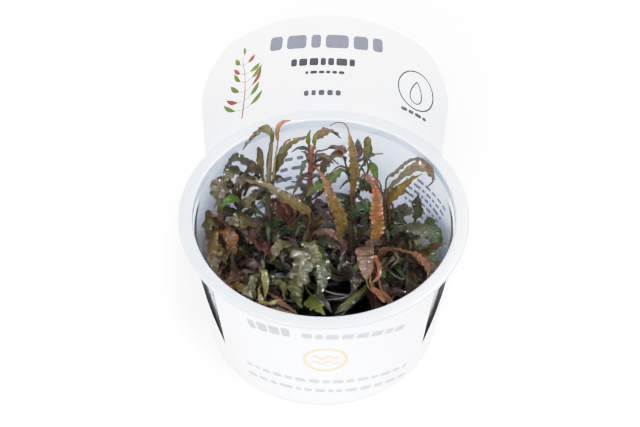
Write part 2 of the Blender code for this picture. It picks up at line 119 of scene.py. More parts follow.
# Lamps: name, place in metres, diameter in metres, power in watts, and whether they only show in
# highlights. The broad ones light the surfaces and the small ones glint. All point at LAMP_TARGET.
LAMP_TARGET = Vector((0, 0, 0.05))
LAMPS = (
    ("front_softbox", (-0.22, -1.2, 1.12), 1.5, 37.0, False),
    ("top_softbox", (0.3, -0.1, 1.5), 0.9, 22.0, False),
    ("glint_back", (0.2, 0.35, 0.7), 0.05, 9.0, True),
    ("glint_left", (-0.45, 0.1, 0.7), 0.05, 9.0, True),
    ("glint_front", (0.2, -0.45, 0.85), 0.06, 12.0, True),
    ("glint_top", (-0.1, 0.15, 0.9), 0.05, 7.0, True),
    ("glint_right", (0.5, 0.0, 0.75), 0.06, 12.0, True),
    ("glint_low", (-0.3, -0.5, 0.6), 0.06, 12.0, True),
)

# Exposure: how light a brightness is shown, as a share of WHITE, with a soft shoulder as in a
# photograph of a white object.
WHITE = 2.5
SHOULDER = ((0.12, 0.34), (0.2, 0.62), (0.3, 0.79), (0.42, 0.885), (0.6, 0.945), (0.72, 1.0))

# The leaf colours below are as they look under the lamps; this is the share of their light that the
# leaves themselves reflect.
LEAF_LIGHT = 0.47

Stem = namedtuple("Stem", "radius route")
Leaf = namedtuple("Leaf", "stem height width blade roll route")
Look = namedtuple("Look", "lobes depth curl tones skew", defaults=(0.85,))
Sprig = namedtuple("Sprig", "height heading reach rise drop width")

# A stem's route runs from its foot in the jelly to its top.
STEMS = {
    "stem_back_left": Stem(1.25, ((-18, 14, 5), (-19, 16, 28), (-19, 18, 48))),
    "stem_left": Stem(1.0, ((-26, 13, 5), (-29, 17, 26), (-29, 20, 43))),
    "stem_left_wall": Stem(1.0, ((-27, 5, 5), (-33, 10, 22), (-35, 12, 36))),
    "stem_back_centre": Stem(1.05, ((-5, 17, 5), (-5, 20, 34), (-4, 23, 61))),
    "stem_back": Stem(1.2, ((9, 14, 5), (10, 18, 32), (10, 22, 53))),
    "stem_right": Stem(1.1, ((21, 8, 5), (21, 11, 26), (21, 16, 44))),
    "stem_right_wall": Stem(0.9, ((28, 0, 5), (29, 5, 20), (30, 11, 34))),
    "stem_right_front": Stem(1.0, ((16, 0, 5), (17, 2, 15), (17, 3, 25))),
    "stem_centre": Stem(1.2, ((-7, 4, 5), (-7, 5, 18), (-7, 6, 31))),
    "stem_front_left": Stem(0.9, ((-20, -5, 5), (-21, -5, 15), (-21, -4, 26))),
}

# A leaf's route starts beside its stem at the given height and runs through these points to its tip.
# Its blade fills the share of its length between the two numbers; before it comes the stalk, and
# after it a thin tail. Roll turns the blade about its midrib, in degrees.
LEAVES = {
    "leaf_back_left_arch": Leaf("stem_back_left", 47, 5.4, (0.42, 1), 0, (
        (-18.8, 21, 56), (-18, 24, 63), (-20, 26.5, 64), (-24, 27, 60), (-27.5, 26, 55.5))),
    "leaf_back_left_tip": Leaf("stem_back_left", 47, 2.2, (0.62, 1), 0, (
        (-16.5, 19.5, 54), (-15.7, 23, 60), (-15.2, 26, 65.5), (-13.5, 27.5, 67), (-11, 28.5, 67))),
    "leaf_back_left_spatula": Leaf("stem_back_left", 46, 2.8, (0.5, 1), 0, (
        (-20.8, 20, 53), (-22, 23, 60))),
    "leaf_back_long_arch": Leaf("stem_back_left", 41, 3.8, (0.2, 1), 0, (
        (-16.2, 20.5, 51.5), (-13.5, 23, 57), (-10.5, 25.5, 59.5), (-4.5, 27.5, 61))),
    "leaf_centre_long_olive": Leaf("stem_centre", 30, 5.4, (0.26, 1), 0, (
        (-4.8, 9.6, 40), (-8.4, 9.7, 44.5), (-14.5, 11.6, 49), (-21, 13.5, 51.5), (-26.7, 15.4, 52))),
    "leaf_left_dark_arch": Leaf("stem_back_left", 42, 7.0, (0.2, 1), 0, (
        (-23, 20, 49), (-26, 22, 53), (-30, 23, 54), (-34, 20, 50))),
    "leaf_left_olive": Leaf("stem_left", 40, 6.5, (0.2, 1), 15, (
        (-32, 20, 46), (-35, 17, 47), (-36, 13, 43))),
    "leaf_left_hanging": Leaf("stem_left", 38, 3.8, (0.2, 1), 20, (
        (-33, 19, 42), (-35, 16, 38), (-35, 14, 31))),
    "leaf_left_bright": Leaf("stem_left", 34, 4.6, (0.2, 1), 0, (
        (-28.5, 14.5, 41.5), (-31.5, 13, 44.5), (-36, 11, 44))),
    "leaf_left_wall_green": Leaf("stem_left_wall", 34, 6.5, (0.2, 1), 70, (
        (-37, 7, 41), (-39, 4, 44), (-39.5, -1, 42))),
    "leaf_left_wall_olive": Leaf("stem_left_wall", 31, 6.5, (0.15, 1), 60, (
        (-37, 6, 37), (-38, 0, 38), (-37, -6, 32))),
    "leaf_left_broad": Leaf("stem_back_left", 29, 8.0, (0.15, 1), 0, (
        (-23, 12, 34), (-28, 9, 38), (-33, 8, 39))),
    "leaf_left_orange_brown": Leaf("stem_left_wall", 30, 6.0, (0.15, 1), 0, (
        (-33.5, 8, 35), (-32, 5, 34), (-30, 2, 29))),
    "leaf_left_red_brown": Leaf("stem_left", 26, 4.8, (0.15, 1), 0, (
        (-28.2, 13.5, 29.5), (-26, 10.5, 30), (-23, 7.5, 28))),
    "leaf_left_yellow_green": Leaf("stem_left_wall", 24, 4.0, (0.15, 1), 0, (
        (-35.5, 6.5, 29.5), (-35.8, 3, 30.5), (-34.5, 0.5, 30), (-33, -1, 27))),
    "leaf_back_brown_curl": Leaf("stem_back_centre", 58, 4.5, (0.1, 1), 0, (
        (-2, 27, 61), (2, 28, 62), (6, 28, 59))),
    "leaf_back_brown": Leaf("stem_back_centre", 53, 5.0, (0.5, 1), 0, (
        (-2, 24, 57), (3, 24, 58), (8, 25, 56))),
    "leaf_centre_orange": Leaf("stem_back_centre", 54, 5.6, (0.12, 1), 0, (
        (-2, 16, 56), (2, 10, 52), (5, 6, 44), (6, 4, 35))),
    "leaf_centre_green": Leaf("stem_centre", 25, 5.0, (0.15, 1), 0, (
        (-3.2, 6.6, 29), (1.5, 7, 30), (6, 5.2, 28))),
    "leaf_back_shoot": Leaf("stem_back", 38, 5.0, (0.12, 0.76), 0, (
        (9.6, 14.5, 44), (9.8, 15, 51), (9.4, 17.5, 59), (8.8, 21.5, 66), (7.5, 24.5, 69), (4.5, 26.5, 68),
        (2, 27.5, 65.5))),
    "leaf_back_broad": Leaf("stem_back", 50, 6.0, (0.2, 1), 0, ((6, 22, 57), (2, 21, 56), (-1, 20, 50))),
    "leaf_back_green": Leaf("stem_back", 49, 5.2, (0.12, 1), 0, (
        (6.5, 19.5, 52), (2.8, 18.2, 49.5), (-1.9, 17.3, 46.5), (-6.7, 16.3, 42.5))),
    "leaf_back_purple": Leaf("stem_back", 47, 3.0, (0.4, 1), 0, ((12, 27, 52), (11.5, 30, 57))),
    "leaf_back_spatula": Leaf("stem_back", 43, 3.8, (0.55, 1), 0, (
        (14.5, 22, 47), (15, 25, 54), (15, 28, 60))),
    "leaf_back_dark": Leaf("stem_back", 49, 4.4, (0.3, 0.8), 0, ((14, 22, 54), (17, 22, 57), (20, 23, 57))),
    "leaf_back_small_green": Leaf("stem_right", 43, 3.4, (0.45, 1), 0, (
        (18.4, 20, 47.5), (15.5, 22.5, 53))),
    "leaf_back_dark_green": Leaf("stem_back", 41, 3.6, (0.15, 1), 0, (
        (13.5, 18.5, 46.5), (15.5, 18, 46), (17, 18.5, 42))),
    "leaf_right_orange": Leaf("stem_right_front", 23, 5.6, (0.16, 1), 0, (
        (17, 6, 30), (18, 8, 38), (18, 11, 46), (16, 14, 53))),
    "leaf_right_pink": Leaf("stem_right", 41, 3.6, (0.2, 1), 0, (
        (17.3, 16.6, 48), (13.5, 17.8, 51), (11.5, 17.7, 49))),
    "leaf_centre_dark_green": Leaf("stem_right", 35, 6.4, (0.15, 1), 0, (
        (16.1, 13.5, 40), (14.4, 12.9, 42), (11.6, 11.7, 41), (9, 11.2, 37))),
    "leaf_front_twisted": Leaf("stem_right_front", 22, 6.8, (0.12, 0.68), 0, (
        (15.1, 3.8, 31), (14.3, -1.5, 32.5), (13.7, -5.5, 32), (13.8, -9, 30.5), (15.1, -12.5, 29.5),
        (17.7, -14.9, 29), (21.6, -18.8, 29.5))),
    "leaf_right_curl_back": Leaf("stem_right", 42, 4.4, (0.27, 0.78), 0, (
        (21.3, 18.3, 49.5), (24, 19, 52), (27, 20.3, 54), (30.5, 21, 55.5), (34, 20, 56),
        (36.5, 18, 54), (37.3, 16.5, 51))),
    "leaf_right_curl_front": Leaf("stem_right", 40, 6.8, (0.2, 0.97), 0, (
        (22, 13, 49), (25, 14, 53.5), (28.5, 15, 56), (32, 15.8, 57), (35, 15.3, 56), (36.3, 14, 53),
        (34.5, 13, 51))),
    "leaf_right_olive": Leaf("stem_right", 34, 4.6, (0.2, 1), 0, (
        (22.3, 12.3, 43), (23.7, 10.5, 50), (27, 10.5, 54.5), (29.9, 11.3, 57), (32.6, 12.6, 58))),
    "leaf_right_dark_green": Leaf("stem_right_wall", 33, 4.0, (0.2, 1), 0, ((32, 13, 38), (32, 16, 44))),
    "leaf_right_dark": Leaf("stem_right", 28, 7.0, (0.15, 1), 0, (
        (24, 14, 33), (27, 15, 36), (30, 16, 34))),
    "leaf_right_bright": Leaf("stem_right_wall", 29, 7.0, (0.15, 1), -15, (
        (34, 9, 36), (37, 5, 37), (38, 0, 34))),
    "leaf_right_rim": Leaf("stem_right_wall", 22, 3.4, (0.3, 1), 40, (
        (33, 2, 29), (36, -2, 37), (38, -7, 45), (39.5, -11, 50))),
    "leaf_right_orange_arch": Leaf("stem_right_front", 24, 4.8, (0.12, 0.92), 20, (
        (20, -1, 34), (23, -4, 38.5), (27, -6.5, 40), (31.5, -8.5, 39.5), (34.3, -10.5, 37),
        (34.3, -12.5, 34), (31.5, -14, 31.5))),
    "leaf_right_glossy": Leaf("stem_right_wall", 26, 7.0, (0.15, 1), 0, (
        (28, 9, 31), (26, 8, 32), (23, 7, 29))),
    "leaf_front_lobed": Leaf("stem_centre", 29, 8.4, (0.15, 1), 0, (
        (-6.6, -2.2, 36.5), (-7.2, -7, 36), (-8.9, -11.4, 34.5), (-9.5, -14.9, 31.5), (-8.2, -17.6, 28.5),
        (-7.2, -19.8, 27.5))),
    "leaf_front_olive": Leaf("stem_centre", 26, 6.2, (0.15, 1), 0, (
        (-1.6, 2, 32), (-0.9, -3.8, 33), (-0.4, -9, 32), (-1, -13.3, 29.5), (-1.8, -15.8, 27))),
    "leaf_front_rim_green": Leaf("stem_centre", 14, 6.5, (0.4, 1), 0, (
        (-4.3, -11.6, 22), (-2.9, -18.1, 26.5), (-1.6, -22.2, 29), (0.4, -24.2, 29.5))),
    "leaf_front_left_rim": Leaf("stem_front_left", 24, 2.4, (0.4, 1), 0, (
        (-21.5, -12, 28), (-20.8, -18, 28.5), (-18.5, -19.5, 29.5), (-16.1, -18.9, 29.5),
        (-13.6, -17.5, 29))),
    "leaf_front_left_brown": Leaf("stem_front_left", 22, 5.0, (0.3, 1), 0, (
        (-27.5, -7.5, 28.5), (-30, -10.5, 29.5), (-27.9, -13.9, 30.5), (-25.1, -16.3, 30.5),
        (-23.2, -17.6, 29.5))),
    "leaf_centre_pink": Leaf("stem_centre", 28, 3.6, (0.15, 1), 0, ((-3, 8, 33), (3, 8, 33), (8, 6, 28))),
    "leaf_centre_red": Leaf("stem_back_left", 40, 6.0, (0.12, 1), 0, (
        (-16, 14, 44), (-14, 12, 42), (-12, 11, 36))),
}

# Small leaves low on each stem, fused to it in the solids. A heading is in degrees from the front,
# round to the right.
SPRIGS = {
    "stem_back_left": (Sprig(20, 160, 11, 7, 3, 4.5), Sprig(24, 20, 9, 5, 4, 4.0)),
    "stem_left": (Sprig(18, 200, 8, 6, 4, 4.5), Sprig(22, -60, 6, 4, 4, 4.0)),
    "stem_left_wall": (Sprig(17, 110, 6, 5, 4, 4.5), Sprig(16, 55, 10, 5, 3, 4.5)),
    "stem_back_centre": (Sprig(22, 150, 12, 7, 4, 4.5), Sprig(28, -80, 8, 5, 4, 4.0)),
    "stem_back": (Sprig(20, 170, 12, 7, 3, 4.5), Sprig(26, 200, 10, 6, 3, 4.0)),
    "stem_right": (Sprig(16, 120, 11, 6, 3, 4.5), Sprig(19, 180, 12, 8, 3, 4.5)),
    "stem_right_wall": (Sprig(17, 30, 10, 5, 3, 4.5), Sprig(18, 100, 6, 5, 3, 4.0)),
    "stem_right_front": (Sprig(17, 20, 14, 5, 4, 5.0), Sprig(18, -40, 12, 5, 4, 4.5)),
    "stem_centre": (Sprig(15, 90, 11, 6, 3, 4.5), Sprig(20, -120, 8, 5, 4, 4.5)),
    "stem_front_left": (Sprig(17, 0, 15, 5, 4, 5.0), Sprig(18, 75, 9, 5, 4, 4.5)),
}

# How each main leaf looks: lobes on a side, how deep the notches are, how far its sides curl up in
# radians, and its colours at the stalk, the middle, the tip, along the midrib and at the edge. A skew
# over 0.85 moves the widest place towards the tip.
LOOKS = {
    "leaf_back_left_arch": Look(8, 0.31, 0.7, "62603c 6a6c46 625640 848256 7a5c4a"),
    "leaf_back_left_tip": Look(5, 0.12, 0.5, "96825e a08a70 a0787a a8946e 9a766c"),
    "leaf_back_left_spatula": Look(3, 0.12, 0.4, "8a7a56 6c6048 5a5248 7a6e52 524a3e"),
    "leaf_back_long_arch": Look(8, 0.35, 0.5, "2a1c24 4e4c34 686a44 60583c 5e4c3a"),
    "leaf_centre_long_olive": Look(7, 0.22, 0.6, "6a5238 625c34 5c5c30 726c3c 70543e"),
    "leaf_left_dark_arch": Look(9, 0.51, 0.6, "30321e 2c3020 3a3226 4a4a30 4c4232"),
    "leaf_left_olive": Look(7, 0.51, 0.5, "42381f 463e26 4e4c2c 625c38 584a38"),
    "leaf_left_hanging": Look(5, 0.31, 0.6, "6e6c34 7c7a3e 6e5c30 8a8850 7c5636"),
    "leaf_left_bright": Look(5, 0.19, 0.5, "3c5a1c 46721f 3c641c 5a8630 44661f"),
    "leaf_left_wall_green": Look(7, 0.44, 0.4, "564c38 5a5040 524c34 6a5e46 5e4c40"),
    "leaf_left_wall_olive": Look(8, 0.44, 0.5, "5a5234 5c5234 64583e 766a44 9a7a70"),
    "leaf_left_broad": Look(8, 0.51, 0.4, "4c431f 50481e 4c3e20 665c28 46401c"),
    "leaf_left_orange_brown": Look(7, 0.44, 0.4, "6a4c30 6a4a30 5e4028 7e5e3c 7c5440"),
    "leaf_left_red_brown": Look(8, 0.44, 0.4, "5e3128 542c26 46261f 703e30 684038"),
    "leaf_left_yellow_green": Look(7, 0.44, 0.4, "5a5c20 6a7228 626828 7c8438 5a4e2c"),
    "leaf_back_brown_curl": Look(7, 0.39, 0.9, "66603e 685c42 5e3240 7a7250 6e463e"),
    "leaf_back_brown": Look(3, 0.39, 0.6, "6e6250 5a4038 6a3c3c 74584a 5c3a36"),
    "leaf_centre_orange": Look(15, 0.46, 0.5, "7e4030 705a30 50501c 8a7038 84564a", 1.35),
    "leaf_centre_green": Look(7, 0.44, 0.4, "3c3c22 3a3e24 343620 4e5030 403826"),
    "leaf_back_shoot": Look(14, 0.45, 0.5, "786440 766440 8a7460 988454 90705e"),
    "leaf_back_broad": Look(5, 0.23, 0.4, "6e6044 685a48 5e5044 82745a 605240"),
    "leaf_back_green": Look(8, 0.35, 0.4, "566c3c 5e7440 5e6c44 7c9658 5c5c40"),
    "leaf_back_purple": Look(5, 0.19, 0.4, "5a505a 504850 5a5560 6e646a 4a4248"),
    "leaf_back_spatula": Look(3, 0.12, 0.4, "8a7c76 787658 787860 8c8c68 6a6a50"),
    "leaf_back_dark": Look(5, 0.25, 0.4, "5a5c4a 5a5a4a 60604e 6e705e 4e5042"),
    "leaf_back_small_green": Look(3, 0.15, 0.4, "6a6a4a 55702f 55702f 6c8840 48602a"),
    "leaf_back_dark_green": Look(5, 0.39, 0.4, "33482c 2f452a 384a2e 48603c 3a3c2e"),
    "leaf_right_orange": Look(16, 0.5, 0.6, "64541e 7c5a26 8a584c 927038 b08884"),
    "leaf_right_pink": Look(8, 0.44, 0.5, "6e3a40 805056 7a4c50 90585c 9a706e"),
    "leaf_centre_dark_green": Look(7, 0.44, 0.4, "2f5a2f 2c532d 356a38 44763e 2a4428"),
    "leaf_front_twisted": Look(7, 0.2, 0.6, "5c5034 5e4636 6e3e34 6c5c42 7a5046"),
    "leaf_right_curl_back": Look(8, 0.28, 0.5, "6f6a60 6c675e 6a4a44 807a6c 7a665c"),
    "leaf_right_curl_front": Look(7, 0.22, 0.5, "6a6654 74705e 6c4a40 827c6e 826a60"),
    "leaf_right_olive": Look(7, 0.35, 0.4, "7d6a2e 86743a 7e6c3c 9e8a46 6a5834"),
    "leaf_right_dark_green": Look(5, 0.19, 0.4, "30361e 32381f 363c22 44503a 2a301c"),
    "leaf_right_dark": Look(8, 0.51, 0.4, "3a4030 353c2e 3e4636 4c543e 3a3a30"),
    "leaf_right_bright": Look(7, 0.25, 0.4, "2c4016 30481a 2e4218 466628 2a3c16"),
    "leaf_right_rim": Look(5, 0.19, 0.5, "6e6446 706442 86662a 847a58 6a5c3c"),
    "leaf_right_orange_arch": Look(17, 0.34, 0.6, "6e6442 7a5a40 8a4638 8e7648 9e6e60"),
    "leaf_right_glossy": Look(5, 0.39, 0.4, "242424 26262a 282620 3c383a 2a2626"),
    "leaf_front_lobed": Look(7, 0.62, 0.4, "38360e 3c3c10 4c5c12 625216 34340e"),
    "leaf_front_olive": Look(7, 0.44, 0.4, "30380e 344014 2c3c1a 465020 2a3210"),
    "leaf_front_rim_green": Look(7, 0.56, 0.4, "4a5224 5e6c30 7c8a40 88984e 4e5c28"),
    "leaf_front_left_rim": Look(8, 0.41, 0.4, "6a6a2c 7c8038 86844a 92925a 7a6440"),
    "leaf_front_left_brown": Look(7, 0.41, 0.4, "54421c 58481f 5a5222 6e5c30 6c5c34"),
    "leaf_centre_pink": Look(12, 0.35, 0.6, "5e4238 5c3e34 4c3426 70524a 7a5c54"),
    "leaf_centre_red": Look(8, 0.39, 0.4, "4e3030 4a2c2a 3c2426 6a3c38 6a4a44"),
}

# Colours of a stem at its foot and at its top.
STEM_COLOURS = {
    "stem_back_left": ("4a3a30", "66583a"),
    "stem_left": ("3a2c26", "5a4a38"),
    "stem_left_wall": ("2c1c1c", "4a3a2c"),
    "stem_back_centre": ("5a342a", "a0644a"),
    "stem_back": ("3c3026", "7d6d4a"),
    "stem_right": ("241c18", "6a4c34"),
    "stem_right_wall": ("26221c", "4a4432"),
    "stem_right_front": ("3a2a20", "8a6a35"),
    "stem_centre": ("3a3824", "5e5c32"),
    "stem_front_left": ("3c2624", "5c3c36"),
}

# Extra leaves, on each stem: height where it starts, width, share of its length where its blade
# starts, points to its tip, lobes, depth of the notches, and its main colour.
EXTRAS = {
    "stem_back_centre": (
        (52, 2.6, 0.45, ((-3, 22, 54), (-1, 21, 57)), 2, 0.1, "5c3a3e"),
        (58, 2.6, 0.2, ((-5, 24, 63), (-4.5, 25, 66)), 2, 0.15, "7c9440"),
        (58, 2.2, 0.2, ((-3, 24, 62), (-2, 25, 65)), 2, 0.15, "8a9a48"),
        (24, 2.8, 0.3, ((-3, 12.9, 31), (-5, 12.9, 34)), 3, 0.3, "4c4c30"),
        (24, 2.8, 0.3, ((-2.6, 13.6, 32), (-3.7, 14.8, 36)), 3, 0.3, "54543a"),
        (24, 2.8, 0.3, ((-1.9, 13.4, 32), (-1.2, 14.8, 36)), 3, 0.3, "484a2c"),
        (24, 2.8, 0.3, ((-1, 13, 32), (1.4, 13.9, 35)), 3, 0.3, "50502f"),
        (36, 4.4, 0.15, ((-5, 18, 42), (-1, 18, 46)), 4, 0.3, "4c6c36"),
        (30, 3.6, 0.2, ((-3, 13, 34), (-1, 12, 38)), 4, 0.5, "4c4c30"),
        (29, 3.4, 0.2, ((-6, 13, 34), (-7, 12, 38)), 3, 0.5, "44462c"),
        (28, 3.4, 0.2, ((-1, 14, 33), (3, 14, 35)), 4, 0.5, "4a4a30"),
    ),
    "stem_left_wall": (
        (16, 5.6, 0.1, ((-31, -17, 19.5), (-35, -14.5, 20), (-37.2, -8.5, 17.5)), 4, 0.35, "4c3e3a"),
        (15, 5.0, 0.1, ((-33, -12, 16.5), (-36.3, -10, 17), (-37.8, -3, 15.5)), 4, 0.35, "463a36"),
        (20, 5.4, 0.1, ((-32, -15.5, 25), (-35.7, -14, 26), (-37.4, -9, 22.5)), 4, 0.35, "50443e"),
        (21, 5.0, 0.1, ((-30, -9, 30), (-33.5, -13, 30), (-32.5, -16.5, 23)), 5, 0.4, "4a3a34"),
        (17, 5.0, 0.1, ((-31, -7, 23), (-34.5, -11, 24), (-33.5, -15, 18)), 5, 0.4, "403230"),
        (26, 5.0, 0.1, ((-33, -5, 36), (-36, -9, 37), (-35.5, -13, 31)), 5, 0.4, "4c3c34"),
        (15, 4.6, 0.1, ((-27, -11, 20), (-30, -16, 20), (-30, -20, 16)), 5, 0.4, "3a2c2c"),
        (19, 5.0, 0.1, ((-33, 3, 24), (-36, -3, 26), (-36, -9, 22)), 5, 0.4, "3c3024"),
        (24, 5.0, 0.1, ((-36, 4, 30), (-37.5, -2, 30), (-37, -8, 26)), 5, 0.4, "443428"),
        (16, 5.0, 0.1, ((-30, -2, 19), (-33, -8, 20), (-33, -13, 17)), 5, 0.4, "2c2420"),
        (27, 4.6, 0.1, ((-36, 9, 33), (-38.5, 5, 34), (-38.5, 0, 31)), 5, 0.4, "46382a"),
        (33, 4.6, 0.2, ((-33, 8, 37), (-37, 8, 42), (-39, 5, 45)), 5, 0.35, "74564c"),
        (30, 3.8, 0.2, ((-37, 14, 34), (-38, 12, 28)), 4, 0.35, "8a9040"),
    ),
    "stem_right_front": (
        (16, 2.4, 0.1, ((13, -6, 19), (10, -11, 21), (5, -18, 23)), 3, 0.1, "5e7028"),
        (21, 3.2, 0.2, ((20, 2, 22), (20, -2, 18)), 3, 0.3, "3c6a38"),
        (24, 2.1, 0.35, ((17, -3, 34.5), (18.5, -5, 31.5), (18.5, -7.5, 29), (16, -10.5, 29)),
         3, 0.1, "945a52"),
        (23, 2.6, 0.6, ((16, -5, 28.5), (16, -10, 27.5), (18, -14.5, 28.5), (20, -19, 29.5)),
         2, 0.1, "96604e"),
        (22, 2.4, 0.65, ((18, -5, 27.5), (19, -10, 27), (20.5, -15, 28), (22.9, -19, 29.7)),
         2, 0.1, "8e5c4a"),
    ),
    "stem_right_wall": (
        (16, 5.6, 0.1, ((31, -17, 19.5), (35, -14.5, 20), (37.2, -8.5, 17.5)), 4, 0.35, "4c3e3a"),
        (15, 5.0, 0.1, ((33, -12, 16.5), (36.3, -10, 17), (37.8, -3, 15.5)), 4, 0.35, "463a36"),
        (20, 5.4, 0.1, ((32, -15.5, 25), (35.7, -14, 26), (37.4, -9, 22.5)), 4, 0.35, "50443e"),
        (20, 5.0, 0.1, ((30, -10, 29), (33.5, -13.5, 29), (32.5, -17, 22)), 5, 0.4, "4a3a34"),
        (25, 5.0, 0.1, ((33, -6, 35), (36, -9.5, 36), (35.5, -13.5, 30)), 5, 0.4, "463834"),
        (18, 5.0, 0.1, ((34, -4, 23), (36, -9, 23), (34.5, -14, 19)), 5, 0.4, "2e261e"),
        (22, 5.0, 0.1, ((36, -1, 29), (38, -6, 28), (36.5, -12, 24)), 5, 0.4, "3a2e24"),
        (16, 5.0, 0.1, ((30, -8, 18), (32, -13, 19), (30, -18, 17)), 5, 0.4, "2a2020"),
        (30, 6.0, 0.15, ((28, 9, 36), (31.8, 6, 38), (35.6, 2, 38.5)), 6, 0.4, "3a4432"),
        (31, 4.2, 0.2, ((31.8, 3, 36), (32.4, 0, 34)), 4, 0.35, "2f4a34"),
        (28, 3.6, 0.2, ((35, -4, 35), (36.4, -6, 31)), 4, 0.35, "6a4a3c"),
        (27, 4.0, 0.2, ((36, -3, 37), (37, -6, 34)), 4, 0.35, "4c6a30"),
        (26, 4.4, 0.2, ((34, 1, 33), (37, -4, 36)), 4, 0.35, "4a6a30"),
        (24, 4.0, 0.2, ((34, 4, 28), (37, 2, 24)), 4, 0.4, "3c4a30"),
    ),
    "stem_front_left": (
        (18, 3.6, 0.15, ((-17, -7, 25), (-14, -10, 27), (-13, -14, 24)), 4, 0.4, "565c30"),
        (20, 4.0, 0.15, ((-23, -4, 26), (-24, -9, 27), (-23, -13, 24)), 4, 0.4, "4c4c28"),
        (20, 2.4, 0.15, ((-14, -15, 24), (-9, -20, 25)), 4, 0.3, "84544c"),
        (17, 3.0, 0.4, ((-19.7, -20.1, 28), (-16, -22.5, 30), (-11.7, -24.2, 30.5), (-9, -24.6, 30)),
         5, 0.35, "8c6436"),
        (23, 3.4, 0.3, ((-20, -7, 31.5), (-19.4, -11, 31), (-19.6, -15.5, 27)), 4, 0.3, "6c6e38"),
    ),
    "stem_right": (
        (33, 6.0, 0.15, ((23.4, 13, 37), (26.7, 13, 39.6), (30.7, 12, 39)), 6, 0.4, "363e2e"),
        (31, 5.6, 0.15, ((24.3, 7, 35), (27.5, 6, 38), (31.7, 3, 38.5)), 6, 0.4, "445040"),
        (28, 5.0, 0.15, ((19, 6, 32), (16, 4, 31), (14, 3, 26)), 5, 0.4, "2c3426"),
    ),
    "stem_centre": (
        (28, 6.6, 0.12, ((-5, 1, 36), (-3.3, -3, 36), (-1.6, -7, 32), (-1.2, -11, 28)),
         6, 0.4, "525c3c"),
        (26, 6.0, 0.12, ((-11, 3, 33), (-15, 1, 34), (-18, -2, 30)), 5, 0.4, "44451f"),
    ),
    "stem_left": (
        (38, 4.6, 0.12, ((-31, 17, 46), (-34, 14, 46.5), (-37, 10, 44)), 5, 0.4, "34341c"),
        (33, 4.6, 0.12, ((-31.5, 14, 38), (-34, 12, 39), (-36.5, 8, 37)), 5, 0.4, "44402a"),
        (36, 4.2, 0.12, ((-27, 16, 41), (-24.5, 14, 42), (-22, 11, 40)), 5, 0.4, "383420"),
        (30, 4.6, 0.12, ((-28, 12, 34), (-30, 8, 36), (-33, 5, 35)), 5, 0.4, "4a4020"),
        (41, 6.0, 0.12, ((-28.2, 21, 50), (-32.2, 19, 51), (-34.5, 16, 49)), 6, 0.4, "333826"),
        (40, 5.6, 0.12, ((-25, 19, 50), (-28.2, 17, 49.5), (-30.2, 15, 47)), 5, 0.4, "2d3222"),
        (37, 5.4, 0.12, ((-29.5, 14, 42), (-26.9, 12, 44.5), (-24.1, 10, 44)), 5, 0.4, "3a3a2c"),
        (26, 4.4, 0.15, ((-23, 12, 25), (-20, 8, 25), (-18, 6, 21)), 4, 0.35, "4c262c"),
    ),
    "stem_back_left": (
        (44, 5.0, 0.12, ((-21.5, 20.5, 50), (-24.5, 20, 52), (-28, 18, 50.5)), 6, 0.45, "30301c"),
        (40, 4.6, 0.12, ((-22, 16, 45), (-24, 13, 46), (-26.5, 10, 44)), 5, 0.4, "3c3824"),
        (34, 4.6, 0.15, ((-15, 15, 38), (-13, 13, 37), (-11, 12, 32)), 4, 0.35, "4a2428"),
        (39, 6.0, 0.12, ((-15, 14, 45), (-12, 12, 45), (-11.1, 10, 41), (-11.4, 9, 36)),
         5, 0.35, "45242a"),
    ),
}

# Small leaves stand at nodes on the stems, in pairs at most above a height.
LOWEST_NODE = 15.0
NODE_STEP = 3.0
SPARSE_ABOVE = 34.0

# Shortest and longest reach in mm of the leaves that lie on the jelly, where it isn't 8 to 15.
LYING_REACH = {"stem_right_front": (12, 25), "stem_centre": (12, 22), "stem_front_left": (9, 18)}

# Roots and runners of each stem: radius, colour and route.
ROOTS = {
    "stem_back_left": (
        (0.75, "7c7048", ((-18.8, 17.8, 46), (-18.3, 20, 53), (-17.8, 22.5, 59), (-17.5, 24, 62))),
    ),
    "stem_left": (
        (0.8, "2a1c20", ((-25.5, 12.9, 16), (-29.7, 9.7, 17), (-34.4, 11.5, 24), (-38.7, 14.6, 30))),
    ),
    "stem_right_wall": (
        (0.16, "9a928c", ((28, 1, 15), (25.2, 2.3, 17), (22.1, 0.9, 16.5), (19, -2, 17))),
        (0.16, "8a847e", ((28, 2, 16), (25.2, 1.8, 17.4), (23.2, 3.7, 18), (20.8, 6.8, 17))),
        (0.18, "9a928c", ((27, 1, 16), (30.1, 2.8, 17.6), (35, 1.9, 16.5))),
        (0.16, "8a847e", ((29, 2, 16), (28.1, 5.1, 18), (30.3, 8.7, 18), (33, 11, 17))),
        (0.14, "7a7068", ((27, -1, 15), (24, -7, 17), (20, -12, 17), (13, -15, 16.5))),
    ),
    "stem_right_front": (
        (0.14, "6a4a50", ((15, -1, 15), (10, -6, 17.5), (5, -8, 17.5), (0, -8, 17))),
        (0.14, "8a7a78", ((15, -1, 15), (9, -9, 17), (7, -14, 17.5), (2, -17, 17))),
        (0.16, "5a3040", ((16, -2, 15), (18, -9, 17.5), (16, -16, 17), (10, -20, 16.5))),
    ),
    "stem_centre": (
        (0.14, "8a7a80", ((-8, 3, 16), (-14, 1, 18.5), (-20, 2, 18), (-24, 5, 17))),
        (0.14, "6a4048", ((-6, 3, 16), (-2, -3, 18), (3, -6, 18), (8, -6, 17))),
    ),
}

# Looks of leaves low in the cup: their colours at the stalk, the middle, the tip, along the midrib
# and at the edge.
LOW_TONES = (
    "2e3020 34381f 3a3a22 4e5030 3a2e24",
    "2a2420 33291f 3a2c24 50402e 3c2a28",
    "263022 2c3a24 303c26 44563a 2c2c20",
    "38282a 3c2a2c 402a2c 5a4040 4a3236",
    "4a4424 544e28 544a28 6a6238 5a4834",
    "2c3a24 37502c 3c5a30 56743e 36442a",
)

